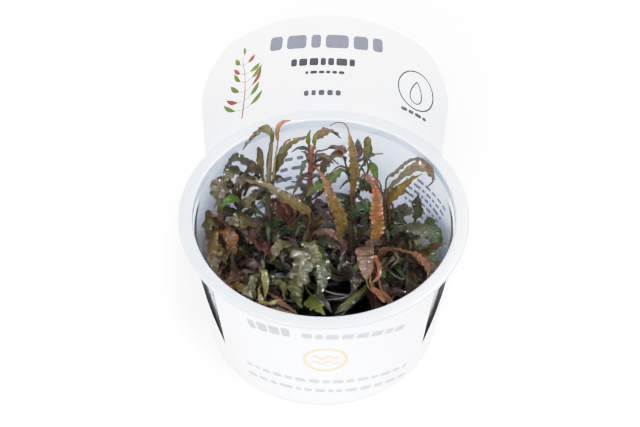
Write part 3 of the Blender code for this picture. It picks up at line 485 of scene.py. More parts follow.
# Edges of the extra leaves
EDGE_TONES = ("7a5a4a", "6a5030", "7c7c44", "6a4048", "5a5a34")

# Looks of the oldest leaves, which lie on the jelly: dark purple and olive, made near black so that
# they also paint in the shade on the floor of the cup
OLD_LEAF_AND_SHADE_TONES = (
    "241a20 2a1c22 24181e 3c2c34 3a2a30",
    "1e1c1c 221e1c 1c1a1a 343030 2c2626",
    "2e1e20 341f22 2a1a1e 4a3034 402c2c",
    "242418 2a2a1a 262416 3e3e28 34301e",
)


def unit(vectors):
    """The vectors, each divided by its own length."""
    return vectors / np.linalg.norm(vectors, axis=-1, keepdims=True)


def smooth_route(points, steps):
    """steps points, evenly spaced along the Catmull-Rom curve through the given ones: a cubic between
    each pair, with its slope at a point half the step from the point before to the one after."""
    points = np.array(points, float)
    ends = np.vstack([2 * points[0] - points[1], points, 2 * points[-1] - points[-2]])
    t = np.linspace(0, 1, 24, endpoint=False)[None, :, None]
    a, b, c, d = (ends[k:len(ends) - 3 + k, None, :] for k in range(4))
    fine = 0.5 * (2 * b + (c - a) * t + (2 * a - 5 * b + 4 * c - d) * t**2 + (3 * b - a - 3 * c + d) * t**3)
    fine = np.vstack([fine.reshape(-1, 3), points[-1:]])
    reach = np.concatenate([[0], np.cumsum(np.linalg.norm(np.diff(fine, axis=0), axis=1))])
    at = np.linspace(0, reach[-1], steps)
    return np.stack([np.interp(at, reach, fine[:, k]) for k in range(3)], axis=1)


def smoothstep(value):
    """A value held between 0 and 1, squared and multiplied by three less twice itself."""
    value = np.clip(value, 0, 1)
    return value * value * (3 - 2 * value)


def linear(hex_colour):
    """An sRGB hex value as linear red, green and blue."""
    value = np.array([int(hex_colour[k:k + 2], 16) for k in (0, 2, 4)]) / 255
    return np.where(value <= 0.04045, value / 12.92, ((value + 0.055) / 1.055) ** 2.4)


def rounded(profile, cut, steps=5):
    """A profile whose inner corners are cut back along both sides, at most by cut or by 0.45 of the side,
    and joined by the quadratic curve that has the corner as its middle control point."""
    points = np.array(profile, float)
    out = [points[:1]]
    t = np.linspace(0, 1, steps)[:, None]
    for before, corner, after in zip(points, points[1:], points[2:]):
        starts = []
        for other in (before, after):
            side = other - corner
            length = np.linalg.norm(side)
            starts.append(corner + side / length * min(cut, 0.45 * length))
        out.append(starts[0] * (1 - t) ** 2 + corner * 2 * t * (1 - t) + starts[1] * t**2)
    return np.vstack([*out, points[-1:]])


def ring_faces(count, across, closed_across=True):
    """Corner numbers of the quads between count rings of across points each."""
    columns = across if closed_across else across - 1
    i, j = np.meshgrid(np.arange(count - 1), np.arange(columns), indexing="ij")
    here, there = i * across + j, i * across + (j + 1) % across
    return np.stack([here, there, there + across, here + across], -1).reshape(-1, 4)


def skin(rings, **values):
    """A closed skin over (count, across, 3) rings: quads between them, and a fan to the middle of each
    end ring. values are arrays on the same points, whose end values are the means of the end rings.
    It is turned to face out if its signed volume is negative."""
    count, across = rings.shape[:2]
    quads = ring_faces(count, across)
    k = np.arange(across)
    following = (k + 1) % across
    last = (count - 1) * across
    fans = np.vstack([np.stack([following, k, np.full(across, count * across)], -1),
                      np.stack([k + last, following + last, np.full(across, count * across + 1)], -1)])
    points = np.vstack([rings.reshape(-1, 3), rings[0].mean(axis=0), rings[-1].mean(axis=0)])
    made = {key: np.vstack([value.reshape(count * across, -1), value[0].mean(axis=0).reshape(1, -1),
                            value[-1].mean(axis=0).reshape(1, -1)]) for key, value in values.items()}
    corners = points[np.vstack([quads[:, [0, 1, 2]], quads[:, [0, 2, 3]], fans])] - points.mean(axis=0)
    if np.einsum("ij,ij->i", corners[:, 0], np.cross(corners[:, 1], corners[:, 2])).sum() < 0:
        quads, fans = quads[:, ::-1], fans[:, ::-1]
    return points, [quads, fans], made


def joined(skins):
    """Several skins as one."""
    starts = np.cumsum([0] + [len(points) for points, _, _ in skins])
    faces = [face + start for (_, groups, _), start in zip(skins, starts) for face in groups]
    values = {key: np.vstack([made[key] for _, _, made in skins]) for key in skins[0][2]}
    return np.vstack([points for points, _, _ in skins]), faces, values


def add_piece(name, shape, finish, replaced=(), crease=None):
    """Puts a shape in millimetres into the scene as one piece that rides on the cup. Its point values
    become colour attributes, and the one named place becomes its UV map."""
    points, faces, values = shape
    mesh = bpy.data.meshes.new(name)
    mesh.from_pydata((points * MM).tolist(), [], [corner for face in faces for corner in face.tolist()])
    for key, value in values.items():
        if key == "place":
            corner_points = np.empty(len(mesh.loops), np.int32)
            mesh.loops.foreach_get("vertex_index", corner_points)
            layer = mesh.uv_layers.new(name="place")
            layer.data.foreach_set("uv", value[corner_points].astype(np.float32).ravel())
        else:
            layer = mesh.attributes.new(key, "FLOAT_COLOR", "POINT")
            colour = np.ones((len(points), 4), np.float32)
            colour[:, :value.shape[1]] = value
            layer.data.foreach_set("color", colour.ravel())
    mesh.materials.append(finish)
    mesh.shade_smooth()
    if crease is not None:
        mesh.set_sharp_from_angle(angle=math.radians(crease))
    mesh.update()
    piece = bpy.data.objects.new(name, mesh)
    bpy.context.scene.collection.objects.link(piece)
    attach(piece, "root")
    if replaced:
        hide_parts(*replaced)
    return piece


def add_node(tree, kind, settings=(), links=()):
    """Adds a node. settings pairs a property or an input with its value, and links an input with the
    output that feeds it."""
    node = tree.nodes.new(kind)
    for key, value in dict(settings).items():
        if key == "ramp":
            ramp = node.color_ramp.elements
            while len(ramp) < len(value):
                ramp.new(1.0)
            for stop, (position, colour) in zip(ramp, value):
                stop.position, stop.color = position, (*colour, 1.0)
        elif isinstance(key, str) and key in node.bl_rna.properties:
            setattr(node, key, value)
        else:
            node.inputs[key].default_value = value
    for key, source in dict(links).items():
        tree.links.new(source, node.inputs[key])
    return node


def new_finish(name, **shader_values):
    """A material with its Principled BSDF, whose constant inputs are given by name with _ for a space."""
    made = bpy.data.materials.new(name)
    made.use_nodes = True
    shader = made.node_tree.nodes["Principled BSDF"]
    for key, value in shader_values.items():
        shader.inputs[key.replace("_", " ")].default_value = value
    return made, made.node_tree, shader


# Finishes

def moulded_polypropylene(name, colour, **shader_values):
    """Clear polypropylene, injection moulded: see-through with a faint haze and slightly wavy walls,
    so that what lies behind it is softened and its edges catch pale grey-blue lines."""
    made, tree, shader = new_finish(name, **shader_values)
    shader.inputs["Base Color"].default_value = (*colour, 1)
    where = add_node(tree, "ShaderNodeTexCoord").outputs["Object"]
    wave = add_node(tree, "ShaderNodeTexNoise", {"Scale": 90.0, "Detail": 2.0}, {"Vector": where})
    bump = add_node(tree, "ShaderNodeBump", {"Strength": 0.12, "Distance": 0.0004},
                    {"Height": wave.outputs["Fac"]})
    tree.links.new(bump.outputs["Normal"], shader.inputs["Normal"])
    return made


def add_tub_finishes(piece, settings):
    """The wall is under a millimetre thick and bends the light very little. The thick rim is frosted:
    milky and bluish white, with a grey blue base colour that is partly the plastic's tint and partly
    painted shade of its front lip."""
    clear = moulded_polypropylene("clear_polypropylene", settings.tub_colour, Transmission_Weight=0.98,
                                  IOR=1.06, Roughness=0.1)
    # The frosted rim's grey blue base colour: the plastic's tint, and painted shade of the front lip.
    frosted = moulded_polypropylene("frosted_polypropylene", linear("b6bdc9"), Transmission_Weight=0.35,
                                    IOR=1.49, Roughness=0.3)
    piece.data.materials[0] = clear
    piece.data.materials.append(frosted)
    middles = np.empty(len(piece.data.polygons) * 3)
    piece.data.polygons.foreach_get("center", middles)
    outside = np.hypot(middles[0::3], middles[1::3]) > (MOUTH_RADIUS + 0.1) * MM
    on_rim = outside & (middles[2::3] > (RIM_TOP - SEAT_DEPTH) * MM)
    piece.data.polygons.foreach_set("material_index", on_rim.astype(np.int32))


def coated_card(settings):
    """Coated white carton board, printed and die cut: smooth and satin, with a very fine fibre grain of
    about 0.4 mm drawn at 1.2 mm so that it shows, and faint unevenness over some 20 mm."""
    made, tree, shader = new_finish("coated_white_card", Roughness=0.42)
    card = np.array(settings.card_colour)
    where = add_node(tree, "ShaderNodeTexCoord").outputs["Object"]
    broad = add_node(tree, "ShaderNodeTexNoise", {"Scale": 50.0, "Detail": 2.0}, {"Vector": where})
    tone = add_node(tree, "ShaderNodeValToRGB", {"ramp": [(0.3, card * 0.97), (0.7, card)]},
                    {"Fac": broad.outputs["Fac"]})
    tree.links.new(tone.outputs["Color"], shader.inputs["Base Color"])
    grain = add_node(tree, "ShaderNodeTexNoise", {"Scale": 830.0, "Detail": 3.0}, {"Vector": where})
    bump = add_node(tree, "ShaderNodeBump", {"Strength": 0.08, "Distance": 0.0001},
                    {"Height": grain.outputs["Fac"]})
    tree.links.new(bump.outputs["Normal"], shader.inputs["Normal"])
    return made


def printing_ink(name, colour):
    """Offset printing ink on coated board: a flat satin layer, a little uneven where the screen of the
    print, about 0.2 mm and drawn at 0.5 mm, lets the card through."""
    made, tree, shader = new_finish(name, Roughness=0.4)
    colour = np.array(colour)
    where = add_node(tree, "ShaderNodeTexCoord").outputs["Object"]
    screen = add_node(tree, "ShaderNodeTexNoise", {"Scale": 2000.0, "Detail": 1.0}, {"Vector": where})
    tone = add_node(tree, "ShaderNodeValToRGB", {"ramp": [(0.35, colour), (0.75, colour * 0.93 + 0.04)]},
                    {"Fac": screen.outputs["Fac"]})
    tree.links.new(tone.outputs["Color"], shader.inputs["Base Color"])
    return made


def nutrient_jelly():
    """Clear nutrient jelly, poured warm and set: see-through, with a wet surface that has shallow ripples
    some 9 mm apart. A dense purple brown absorption paints in the shade that falls in it under the leaves."""
    made, tree, shader = new_finish("clear_nutrient_jelly", Transmission_Weight=1.0, IOR=1.34, Roughness=0.03)
    shader.inputs["Base Color"].default_value = (*linear("fcfbf7"), 1)
    where = add_node(tree, "ShaderNodeTexCoord").outputs["Object"]
    ripple = add_node(tree, "ShaderNodeTexNoise", {"Scale": 110.0, "Detail": 1.0}, {"Vector": where})
    bump = add_node(tree, "ShaderNodeBump", {"Strength": 0.3, "Distance": 0.0005},
                    {"Height": ripple.outputs["Fac"]})
    tree.links.new(bump.outputs["Normal"], shader.inputs["Normal"])
    # Painted shade: the dense purple brown absorption darkens the clear jelly where shade falls in the cup.
    painted_shade_absorption = add_node(tree, "ShaderNodeVolumeAbsorption", {"Color": (*linear("bbadad"), 1), "Density": 110.0})
    tree.links.new(painted_shade_absorption.outputs["Volume"], tree.nodes["Material Output"].inputs["Volume"])
    return made


def moist_leaf(settings):
    """Fresh leaf tissue grown in full humidity: soft, slightly see-through cells under a wet film. The
    colours come with the blade. Side veins run from the midrib to each lobe, the cells mottle the
    colour over 1 to 2 mm, and the film gives small sharp highlights."""
    made, tree, shader = new_finish("moist_leaf_tissue", Coat_Roughness=0.05, Coat_IOR=1.33,
                                    Specular_IOR_Level=0.1, Coat_Weight=settings.leaf_wetness)
    where = add_node(tree, "ShaderNodeTexCoord").outputs["Object"]
    on_blade = add_node(tree, "ShaderNodeUVMap", {"uv_map": "place"}).outputs["UV"]
    tint = add_node(tree, "ShaderNodeAttribute", {"attribute_name": "tint"}).outputs["Color"]
    rib = add_node(tree, "ShaderNodeAttribute", {"attribute_name": "rib"}).outputs["Color"]
    split = add_node(tree, "ShaderNodeSeparateXYZ", links={"Vector": on_blade})

    # The midrib is the middle tenth of the blade.
    across = add_node(tree, "ShaderNodeMath", {"operation": "ABSOLUTE"}, {0: split.outputs["Y"]})
    on_rib = add_node(tree, "ShaderNodeMapRange", {
        "interpolation_type": "SMOOTHSTEP", "From Min": 0.05, "From Max": 0.16, "To Min": 0.6, "To Max": 0.0,
    }, {"Value": across.outputs["Value"]})
    # A vein lies where the lobe count is a half.
    lobe = add_node(tree, "ShaderNodeMath", {"operation": "FRACT"}, {0: split.outputs["X"]})
    aside = add_node(tree, "ShaderNodeMath", {"operation": "SUBTRACT", 1: 0.5}, {0: lobe.outputs["Value"]})
    from_vein = add_node(tree, "ShaderNodeMath", {"operation": "ABSOLUTE"}, {0: aside.outputs["Value"]})
    on_vein = add_node(tree, "ShaderNodeMapRange", {
        "interpolation_type": "SMOOTHSTEP", "From Min": 0.02, "From Max": 0.12, "To Min": 0.25, "To Max": 0.0,
    }, {"Value": from_vein.outputs["Value"]})

    # Cells in patches of 1 to 2 mm.
    mottle = add_node(tree, "ShaderNodeTexNoise", {"Scale": 700.0, "Detail": 4.0, "Roughness": 0.6},
                      {"Vector": where})
    patches = add_node(tree, "ShaderNodeMapRange",
                       {"From Min": 0.3, "From Max": 0.7, "To Min": 0.55, "To Max": 1.5},
                       {"Value": mottle.outputs["Fac"]})
    # Patches some 4 mm wide, from green to red brown.
    hue = add_node(tree, "ShaderNodeTexNoise", {"Scale": 260.0, "Detail": 3.0, "Roughness": 0.65},
                   {"Vector": where})
    ripening = add_node(tree, "ShaderNodeValToRGB",
                        {"ramp": [(0.38, (0.95, 1.06, 0.58)), (0.62, (1.25, 0.92, 0.66))]},
                        {"Fac": hue.outputs["Fac"]})
    turned_tint = add_node(tree, "ShaderNodeVectorMath", {"operation": "MULTIPLY"},
                           {0: tint, 1: ripening.outputs["Color"]})
    shaded = add_node(tree, "ShaderNodeVectorMath", {"operation": "SCALE"},
                      {0: turned_tint.outputs["Vector"], "Scale": patches.outputs["Result"]})
    veined = add_node(tree, "ShaderNodeMix", {"data_type": "RGBA"},
                      {0: on_vein.outputs["Result"], 6: shaded.outputs["Vector"], 7: rib})
    ribbed = add_node(tree, "ShaderNodeMix", {"data_type": "RGBA"},
                      {0: on_rib.outputs["Result"], 6: veined.outputs[2], 7: rib})
    tree.links.new(ribbed.outputs[2], shader.inputs["Base Color"])
    rough = add_node(tree, "ShaderNodeMapRange",
                     {"From Min": 0.3, "From Max": 0.7, "To Min": 0.28, "To Max": 0.5},
                     {"Value": mottle.outputs["Fac"]})
    tree.links.new(rough.outputs["Result"], shader.inputs["Roughness"])

    # The veins are grooves between the cells.
    cells = add_node(tree, "ShaderNodeTexNoise", {"Scale": 900.0, "Detail": 3.0}, {"Vector": where})
    groove = add_node(tree, "ShaderNodeMath", {"operation": "MULTIPLY_ADD", 1: -1.2},
                      {0: on_vein.outputs["Result"], 2: cells.outputs["Fac"]})
    bump = add_node(tree, "ShaderNodeBump", {"Strength": 0.6, "Distance": 0.0002},
                    {"Height": groove.outputs["Value"]})
    tree.links.new(bump.outputs["Normal"], shader.inputs["Normal"])
    # The film lies in waves that run from the midrib to the edge, three or four to a lobe.
    along = add_node(tree, "ShaderNodeMapping", {"Scale": (5.0, 1.3, 1.0)}, {"Vector": on_blade})
    wavy = add_node(tree, "ShaderNodeTexNoise", {"Scale": 1.0, "Detail": 2.0},
                    {"Vector": along.outputs["Vector"]})
    film = add_node(tree, "ShaderNodeBump", {"Strength": 0.65, "Distance": 0.00025},
                    {"Height": wavy.outputs["Fac"]})
    tree.links.new(film.outputs["Normal"], shader.inputs["Coat Normal"])
    return made


def moist_stem(settings):
    """Young plant stem: smooth wet skin, brown to red, streaked lengthways every millimetre or so."""
    made, tree, shader = new_finish("moist_stem_skin", Roughness=0.35, Coat_Roughness=0.1,
                                    Coat_Weight=settings.leaf_wetness)
    where = add_node(tree, "ShaderNodeTexCoord").outputs["Object"]
    tint = add_node(tree, "ShaderNodeAttribute", {"attribute_name": "tint"}).outputs["Color"]
    squeezed = add_node(tree, "ShaderNodeMapping", {"Scale": (1200.0, 1200.0, 260.0)}, {"Vector": where})
    streak = add_node(tree, "ShaderNodeTexNoise", {"Scale": 1.0, "Detail": 3.0},
                      {"Vector": squeezed.outputs["Vector"]})
    patches = add_node(tree, "ShaderNodeMapRange",
                       {"From Min": 0.3, "From Max": 0.7, "To Min": 0.6, "To Max": 1.4},
                       {"Value": streak.outputs["Fac"]})
    shaded = add_node(tree, "ShaderNodeVectorMath", {"operation": "SCALE"},
                      {0: tint, "Scale": patches.outputs["Result"]})
    tree.links.new(shaded.outputs["Vector"], shader.inputs["Base Color"])
    bump = add_node(tree, "ShaderNodeBump", {"Strength": 0.3, "Distance": 0.0001},
                    {"Height": streak.outputs["Fac"]})
    tree.links.new(bump.outputs["Normal"], shader.inputs["Normal"])
    return made


# Cup, card and jelly

def wall_radius(height):
    """The tub's inner wall below the lid seat, a straight taper."""
    foot = FOOT_RADIUS - WALL
    neck = MOUTH_RADIUS - SEAT_WIDTH
    return foot + (neck - foot) * (height - FLOOR_TOP) / (RIM_TOP - SEAT_DEPTH - FLOOR_TOP)


def turned(profile, segments, cut):
    """A rounded profile of (radius, height) turned about Z: each ring is a circle of the radius at that
    height. The ends of the profile lie on the axis."""
    profile = rounded(profile, cut)[1:-1]
    turn = np.arange(segments) / segments * 2 * math.pi
    circle = np.stack([np.sin(turn), -np.cos(turn)], -1)
    rings = np.empty((len(profile), segments, 3))
    rings[:, :, :2] = profile[:, 0, None, None] * circle
    rings[:, :, 2] = profile[:, 1, None]
    return skin(rings)


def tub_profile(rim_radius):
    """(radius, height) of the tub's corners: out along the underside, up the wall, round the flange,
    down over the lid seat and the inner wall, and in along the floor."""
    under = RIM_TOP - RIM_THICKNESS
    seat = RIM_TOP - SEAT_DEPTH
    return [
        (0, 0), (2, 0), (FOOT_RADIUS - 0.9, 0), (FOOT_RADIUS, 1.1), (NECK_RADIUS, seat - 1.0),
        (COLLAR_RADIUS, seat - 0.1), (COLLAR_RADIUS, under), (rim_radius, under),
        (rim_radius, RIM_TOP - 0.25), (rim_radius - 0.3, RIM_TOP), (MOUTH_RADIUS + 0.5, RIM_TOP),
        (MOUTH_RADIUS, RIM_TOP - 0.5), (MOUTH_RADIUS, seat), (MOUTH_RADIUS - SEAT_WIDTH, seat - 0.5),
        (wall_radius(FLOOR_TOP + 1.2), FLOOR_TOP + 1.2), (wall_radius(FLOOR_TOP) - 1.2, FLOOR_TOP),
        (2, FLOOR_TOP), (0, FLOOR_TOP),
    ]


def jelly_profile():
    """(radius, height) of the jelly's corners, a gap away from the tub, with a raised edge."""
    bottom = FLOOR_TOP + GAP
    return [
        (0, bottom), (2, bottom), (wall_radius(bottom) - 1.6, bottom),
        (wall_radius(bottom + 1.4) - GAP, bottom + 1.4),
        (wall_radius(JELLY_TOP + MENISCUS) - GAP, JELLY_TOP + MENISCUS),
        (wall_radius(JELLY_TOP) - 1.6, JELLY_TOP), (2, JELLY_TOP), (0, JELLY_TOP),
    ]


def header_top(arc):
    """Height of the header's edge at an arc length from its middle: a shallow parabola, then a
    superellipse corner."""
    arc = np.abs(arc)
    crown = HEADER_TOP - (HEADER_TOP - HEADER_CORNER_TOP) * (arc / HEADER_CORNER_START) ** 2
    across = np.clip((arc - HEADER_CORNER_START) / (HEADER_HALF_WIDTH - HEADER_CORNER_START), 0, 1)
    rise = (1 - across**HEADER_CORNER_POWER) ** (1 / HEADER_CORNER_POWER)
    corner = HEADER_CORNER_BASE + (HEADER_CORNER_TOP - HEADER_CORNER_BASE) * rise
    return np.where(arc <= HEADER_CORNER_START, crown, corner)


def sleeve_radius(angle, height):
    """Outer radius of the card: a cone on the tub in front, a wider one behind that leans back above the
    rim, and a smooth step from one to the other between 62 and 116 degrees from the front."""
    front = SLEEVE_FOOT_RADIUS + (SLEEVE_NECK_RADIUS - SLEEVE_FOOT_RADIUS) * height / SLEEVE_TOP
    low = SLEEVE_FOOT_RADIUS + (BACK_RIM_RADIUS - SLEEVE_FOOT_RADIUS) * height / RIM_TOP
    back = np.where(height <= RIM_TOP, low, BACK_RIM_RADIUS + HEADER_LEAN * (height - RIM_TOP))
    return front + (back - front) * smoothstep((np.abs(angle) - 62) / 54)


def back_angle(arc, height):
    """Angle of a point on the back panel at an arc length to the right of its middle line."""
    above = np.maximum(0.0, height - RIM_TOP)
    aside = HEADER_SHIFT * above / (HEADER_TOP - RIM_TOP)
    return 180 - np.degrees((arc + aside) / (BACK_RIM_RADIUS + HEADER_LEAN * above))


def on_card(angle, height, out=0.0):
    """The point of the card's outer face at an angle and height, moved outwards."""
    angle = np.where(angle > 180, angle - 360, angle)
    radius = sleeve_radius(angle, height) + out
    turn = np.radians(angle)
    return np.stack([radius * np.sin(turn), -radius * np.cos(turn), height + 0 * angle], -1)


def sleeve_shape(card):
    """The card's outer face as six sheets that share their edges, and the same points a card's
    thickness further in, joined round every free edge. A sheet is a grid of (angle, height): the band
    in front, the front panel on it, a side on either hand that ends in the curved lower edge of its
    window, the back panel, and the header above the shoulders."""
    side = float(back_angle(HEADER_HALF_WIDTH, RIM_TOP))
    sheets = []
    across = np.linspace(-FRONT_HALF_ANGLE, FRONT_HALF_ANGLE, 109)
    sheets.append(np.broadcast_arrays(across[:, None], np.linspace(SLEEVE_BOTTOM, BAND_TOP, 9)[None]))
    sheets.append(np.broadcast_arrays(across[:, None], np.linspace(BAND_TOP, SLEEVE_TOP, 25)[None]))
    for sign in (1, -1):
        angle = np.linspace(FRONT_HALF_ANGLE, side, 81)
        start = FRONT_HALF_ANGLE + WINDOW_START
        share = np.clip((angle - start) / (side - start), 0, 1)
        top = BAND_TOP + (SHOULDER_TOP - BAND_TOP) * share**WINDOW_CURVE
        height = SLEEVE_BOTTOM + (top - SLEEVE_BOTTOM)[:, None] * np.linspace(0, 1, 9)[None]
        sheets.append((sign * angle[:, None] + 0 * height, height))
    arc = HEADER_HALF_WIDTH * np.sin(np.linspace(-math.pi / 2, math.pi / 2, 181))
    for low, high, rows in ((SLEEVE_BOTTOM + 0 * arc, SHOULDER_TOP + 0 * arc, 9),
                            (SHOULDER_TOP + 0 * arc, header_top(arc), 61)):
        height = low[:, None] + (high - low)[:, None] * np.linspace(0, 1, rows)[None]
        sheets.append((back_angle(arc[:, None], height), height))
    points, quads, first = [], [], 0
    for angle, height in sheets:
        quads.append(ring_faces(*angle.shape, closed_across=False) + first)
        points.append(on_card(angle, height).reshape(-1, 3))
        first += angle.size
    points, quads = np.vstack(points), np.vstack(quads)
    _, keep, number = np.unique(np.round(points, 4), axis=0, return_index=True, return_inverse=True)
    points, quads = points[keep], number.reshape(-1)[quads]
    flat = points * (1, 1, 0)
    facing = np.cross(points[quads[:, 1]] - points[quads[:, 0]], points[quads[:, 3]] - points[quads[:, 0]])
    wrong = np.einsum("ij,ij->i", facing, flat[quads[:, 0]]) < 0
    quads[wrong] = quads[wrong][:, ::-1]
    inner = points - unit(flat) * card
    edges = np.stack([quads, np.roll(quads, -1, axis=1)], -1).reshape(-1, 2)
    key, count = np.unique(np.sort(edges, axis=1), axis=0, return_counts=True)
    free = {tuple(pair) for pair in key[count == 1].tolist()}
    rim = np.array([pair for pair in edges.tolist() if tuple(sorted(pair)) in free])
    size = len(points)
    walls = np.stack([rim[:, 1], rim[:, 0], rim[:, 0] + size, rim[:, 1] + size], -1)
    return np.vstack([points, inner]), [quads, quads[:, ::-1] + size, walls], {}


# Print

def stroke(path, width, surface, inside=False):
    """A printed line: a flat closed strip along a path of (across, height) points on the card. Its half
    width at each point is width / 2."""
    path = np.array(path, float)
    along = unit(np.gradient(path, axis=0))
    normal = np.stack([-along[:, 1], along[:, 0]], -1)
    half = np.broadcast_to(np.asarray(width, float) / 2, len(path))[:, None]
    left, right = path + normal * half, path - normal * half
    low, high = (-CARD_BACK - INK, -CARD_BACK - INK_GAP) if inside else (INK_GAP, INK)
    corners = ((left, low), (right, low), (right, high), (left, high))
    return skin(np.stack([surface(*corner) for corner in corners], axis=1))


def on_back(path, out):
    """Places on the back panel and header, as arc length to the right of the middle, seen from the
    front, and height. Its front face is the card's inner face."""
    return on_card(back_angle(path[:, 0], path[:, 1]), path[:, 1], out)


def on_front(path, out):
    """Places on the front panel, as arc length to the right of the middle and height."""
    return on_card(np.degrees(path[:, 0] / FRONT_PRINT_RADIUS), path[:, 1], out)


def bar(left, right, line, thick, corner=0.6):
    """A printed bar with rounded corners. Its middle line is height + slope * across + arch *
    across^2, and its width falls off as a quarter circle over the corner at each end."""
    height, slope, arch = line
    corner = min(corner, thick / 2, (right - left) / 2)
    across = np.linspace(left, right, max(15, int((right - left) / 0.6)))
    ends = np.clip(np.minimum(across - left, right - across) / corner, 0, 1)
    width = thick - 2 * corner * (1 - np.sqrt(1 - (1 - ends) ** 2))
    return np.stack([across, height + slope * across + arch * across**2], -1), np.maximum(width, 0.05)


def word_row(left, right, line, thick, rng, word, gap, corner=0.6):
    """A row of bars of seeded lengths between two places, in place of a line of print."""
    bars = []
    while left < right - word[0]:
        end = min(right, left + rng.uniform(*word))
        bars.append(bar(left, end, line, thick, corner))
        left = end + gap
    return bars


def ring(across, height, wide, tall, width):
    """A printed ellipse in outline."""
    turn = np.linspace(0, 2 * math.pi, 61)
    return np.stack([across + wide * np.sin(turn), height + tall * np.cos(turn)], -1), width


def drop_outline(across, height, size, width):
    """A drop in outline: to the side sin(t) sin(t / 2), upwards cos(t)."""
    turn = np.linspace(0.02, 2 * math.pi - 0.02, 61)
    sideways = across + 0.7 * size * np.sin(turn) * np.sin(turn / 2)
    return np.stack([sideways, height + size * np.cos(turn)], -1), width


def oval_leaf(start, angle, length, wide):
    """A printed leaf: a line that bows to one side, whose width is a half sine over its outer two
    thirds and a thin stalk before."""
    s = np.linspace(0, 1, 21)
    turn = math.radians(angle)
    way, aside = np.array([math.sin(turn), math.cos(turn)]), np.array([math.cos(turn), -math.sin(turn)])
    bow = math.copysign(0.12 * length, angle) * np.sin(math.pi * s)
    path = start + way * s[:, None] * length + aside * bow[:, None]
    blade = np.clip((s - 0.3) / 0.7, 0, 1)
    return path, np.maximum(np.sin(math.pi * blade) ** 0.8 * wide, 0.22)


# Plants

def heading_way(heading):
    """The level unit vector at a heading in degrees, from the front round to the right."""
    turn = math.radians(heading)
    return np.array([math.sin(turn), -math.cos(turn), 0.0])


def right_of(way):
    """The level vector at right angles to the given one, on its right."""
    return np.array([way[1], -way[0], 0.0])


def in_frame(route, roll):
    """Unit vectors along, across and up at each point of a route. Across is level, and at right angles
    to the way from base to tip; roll, in degrees, turns across and up about the route."""
    along = unit(np.gradient(route, axis=0))
    across = right_of(route[-1] - route[0])
    across = unit(across - along * (along @ across)[:, None])
    up = np.cross(across, along)
    turn = np.radians(roll) * np.ones((len(route), 1))
    return along, across * np.cos(turn) + up * np.sin(turn), up * np.cos(turn) - across * np.sin(turn)


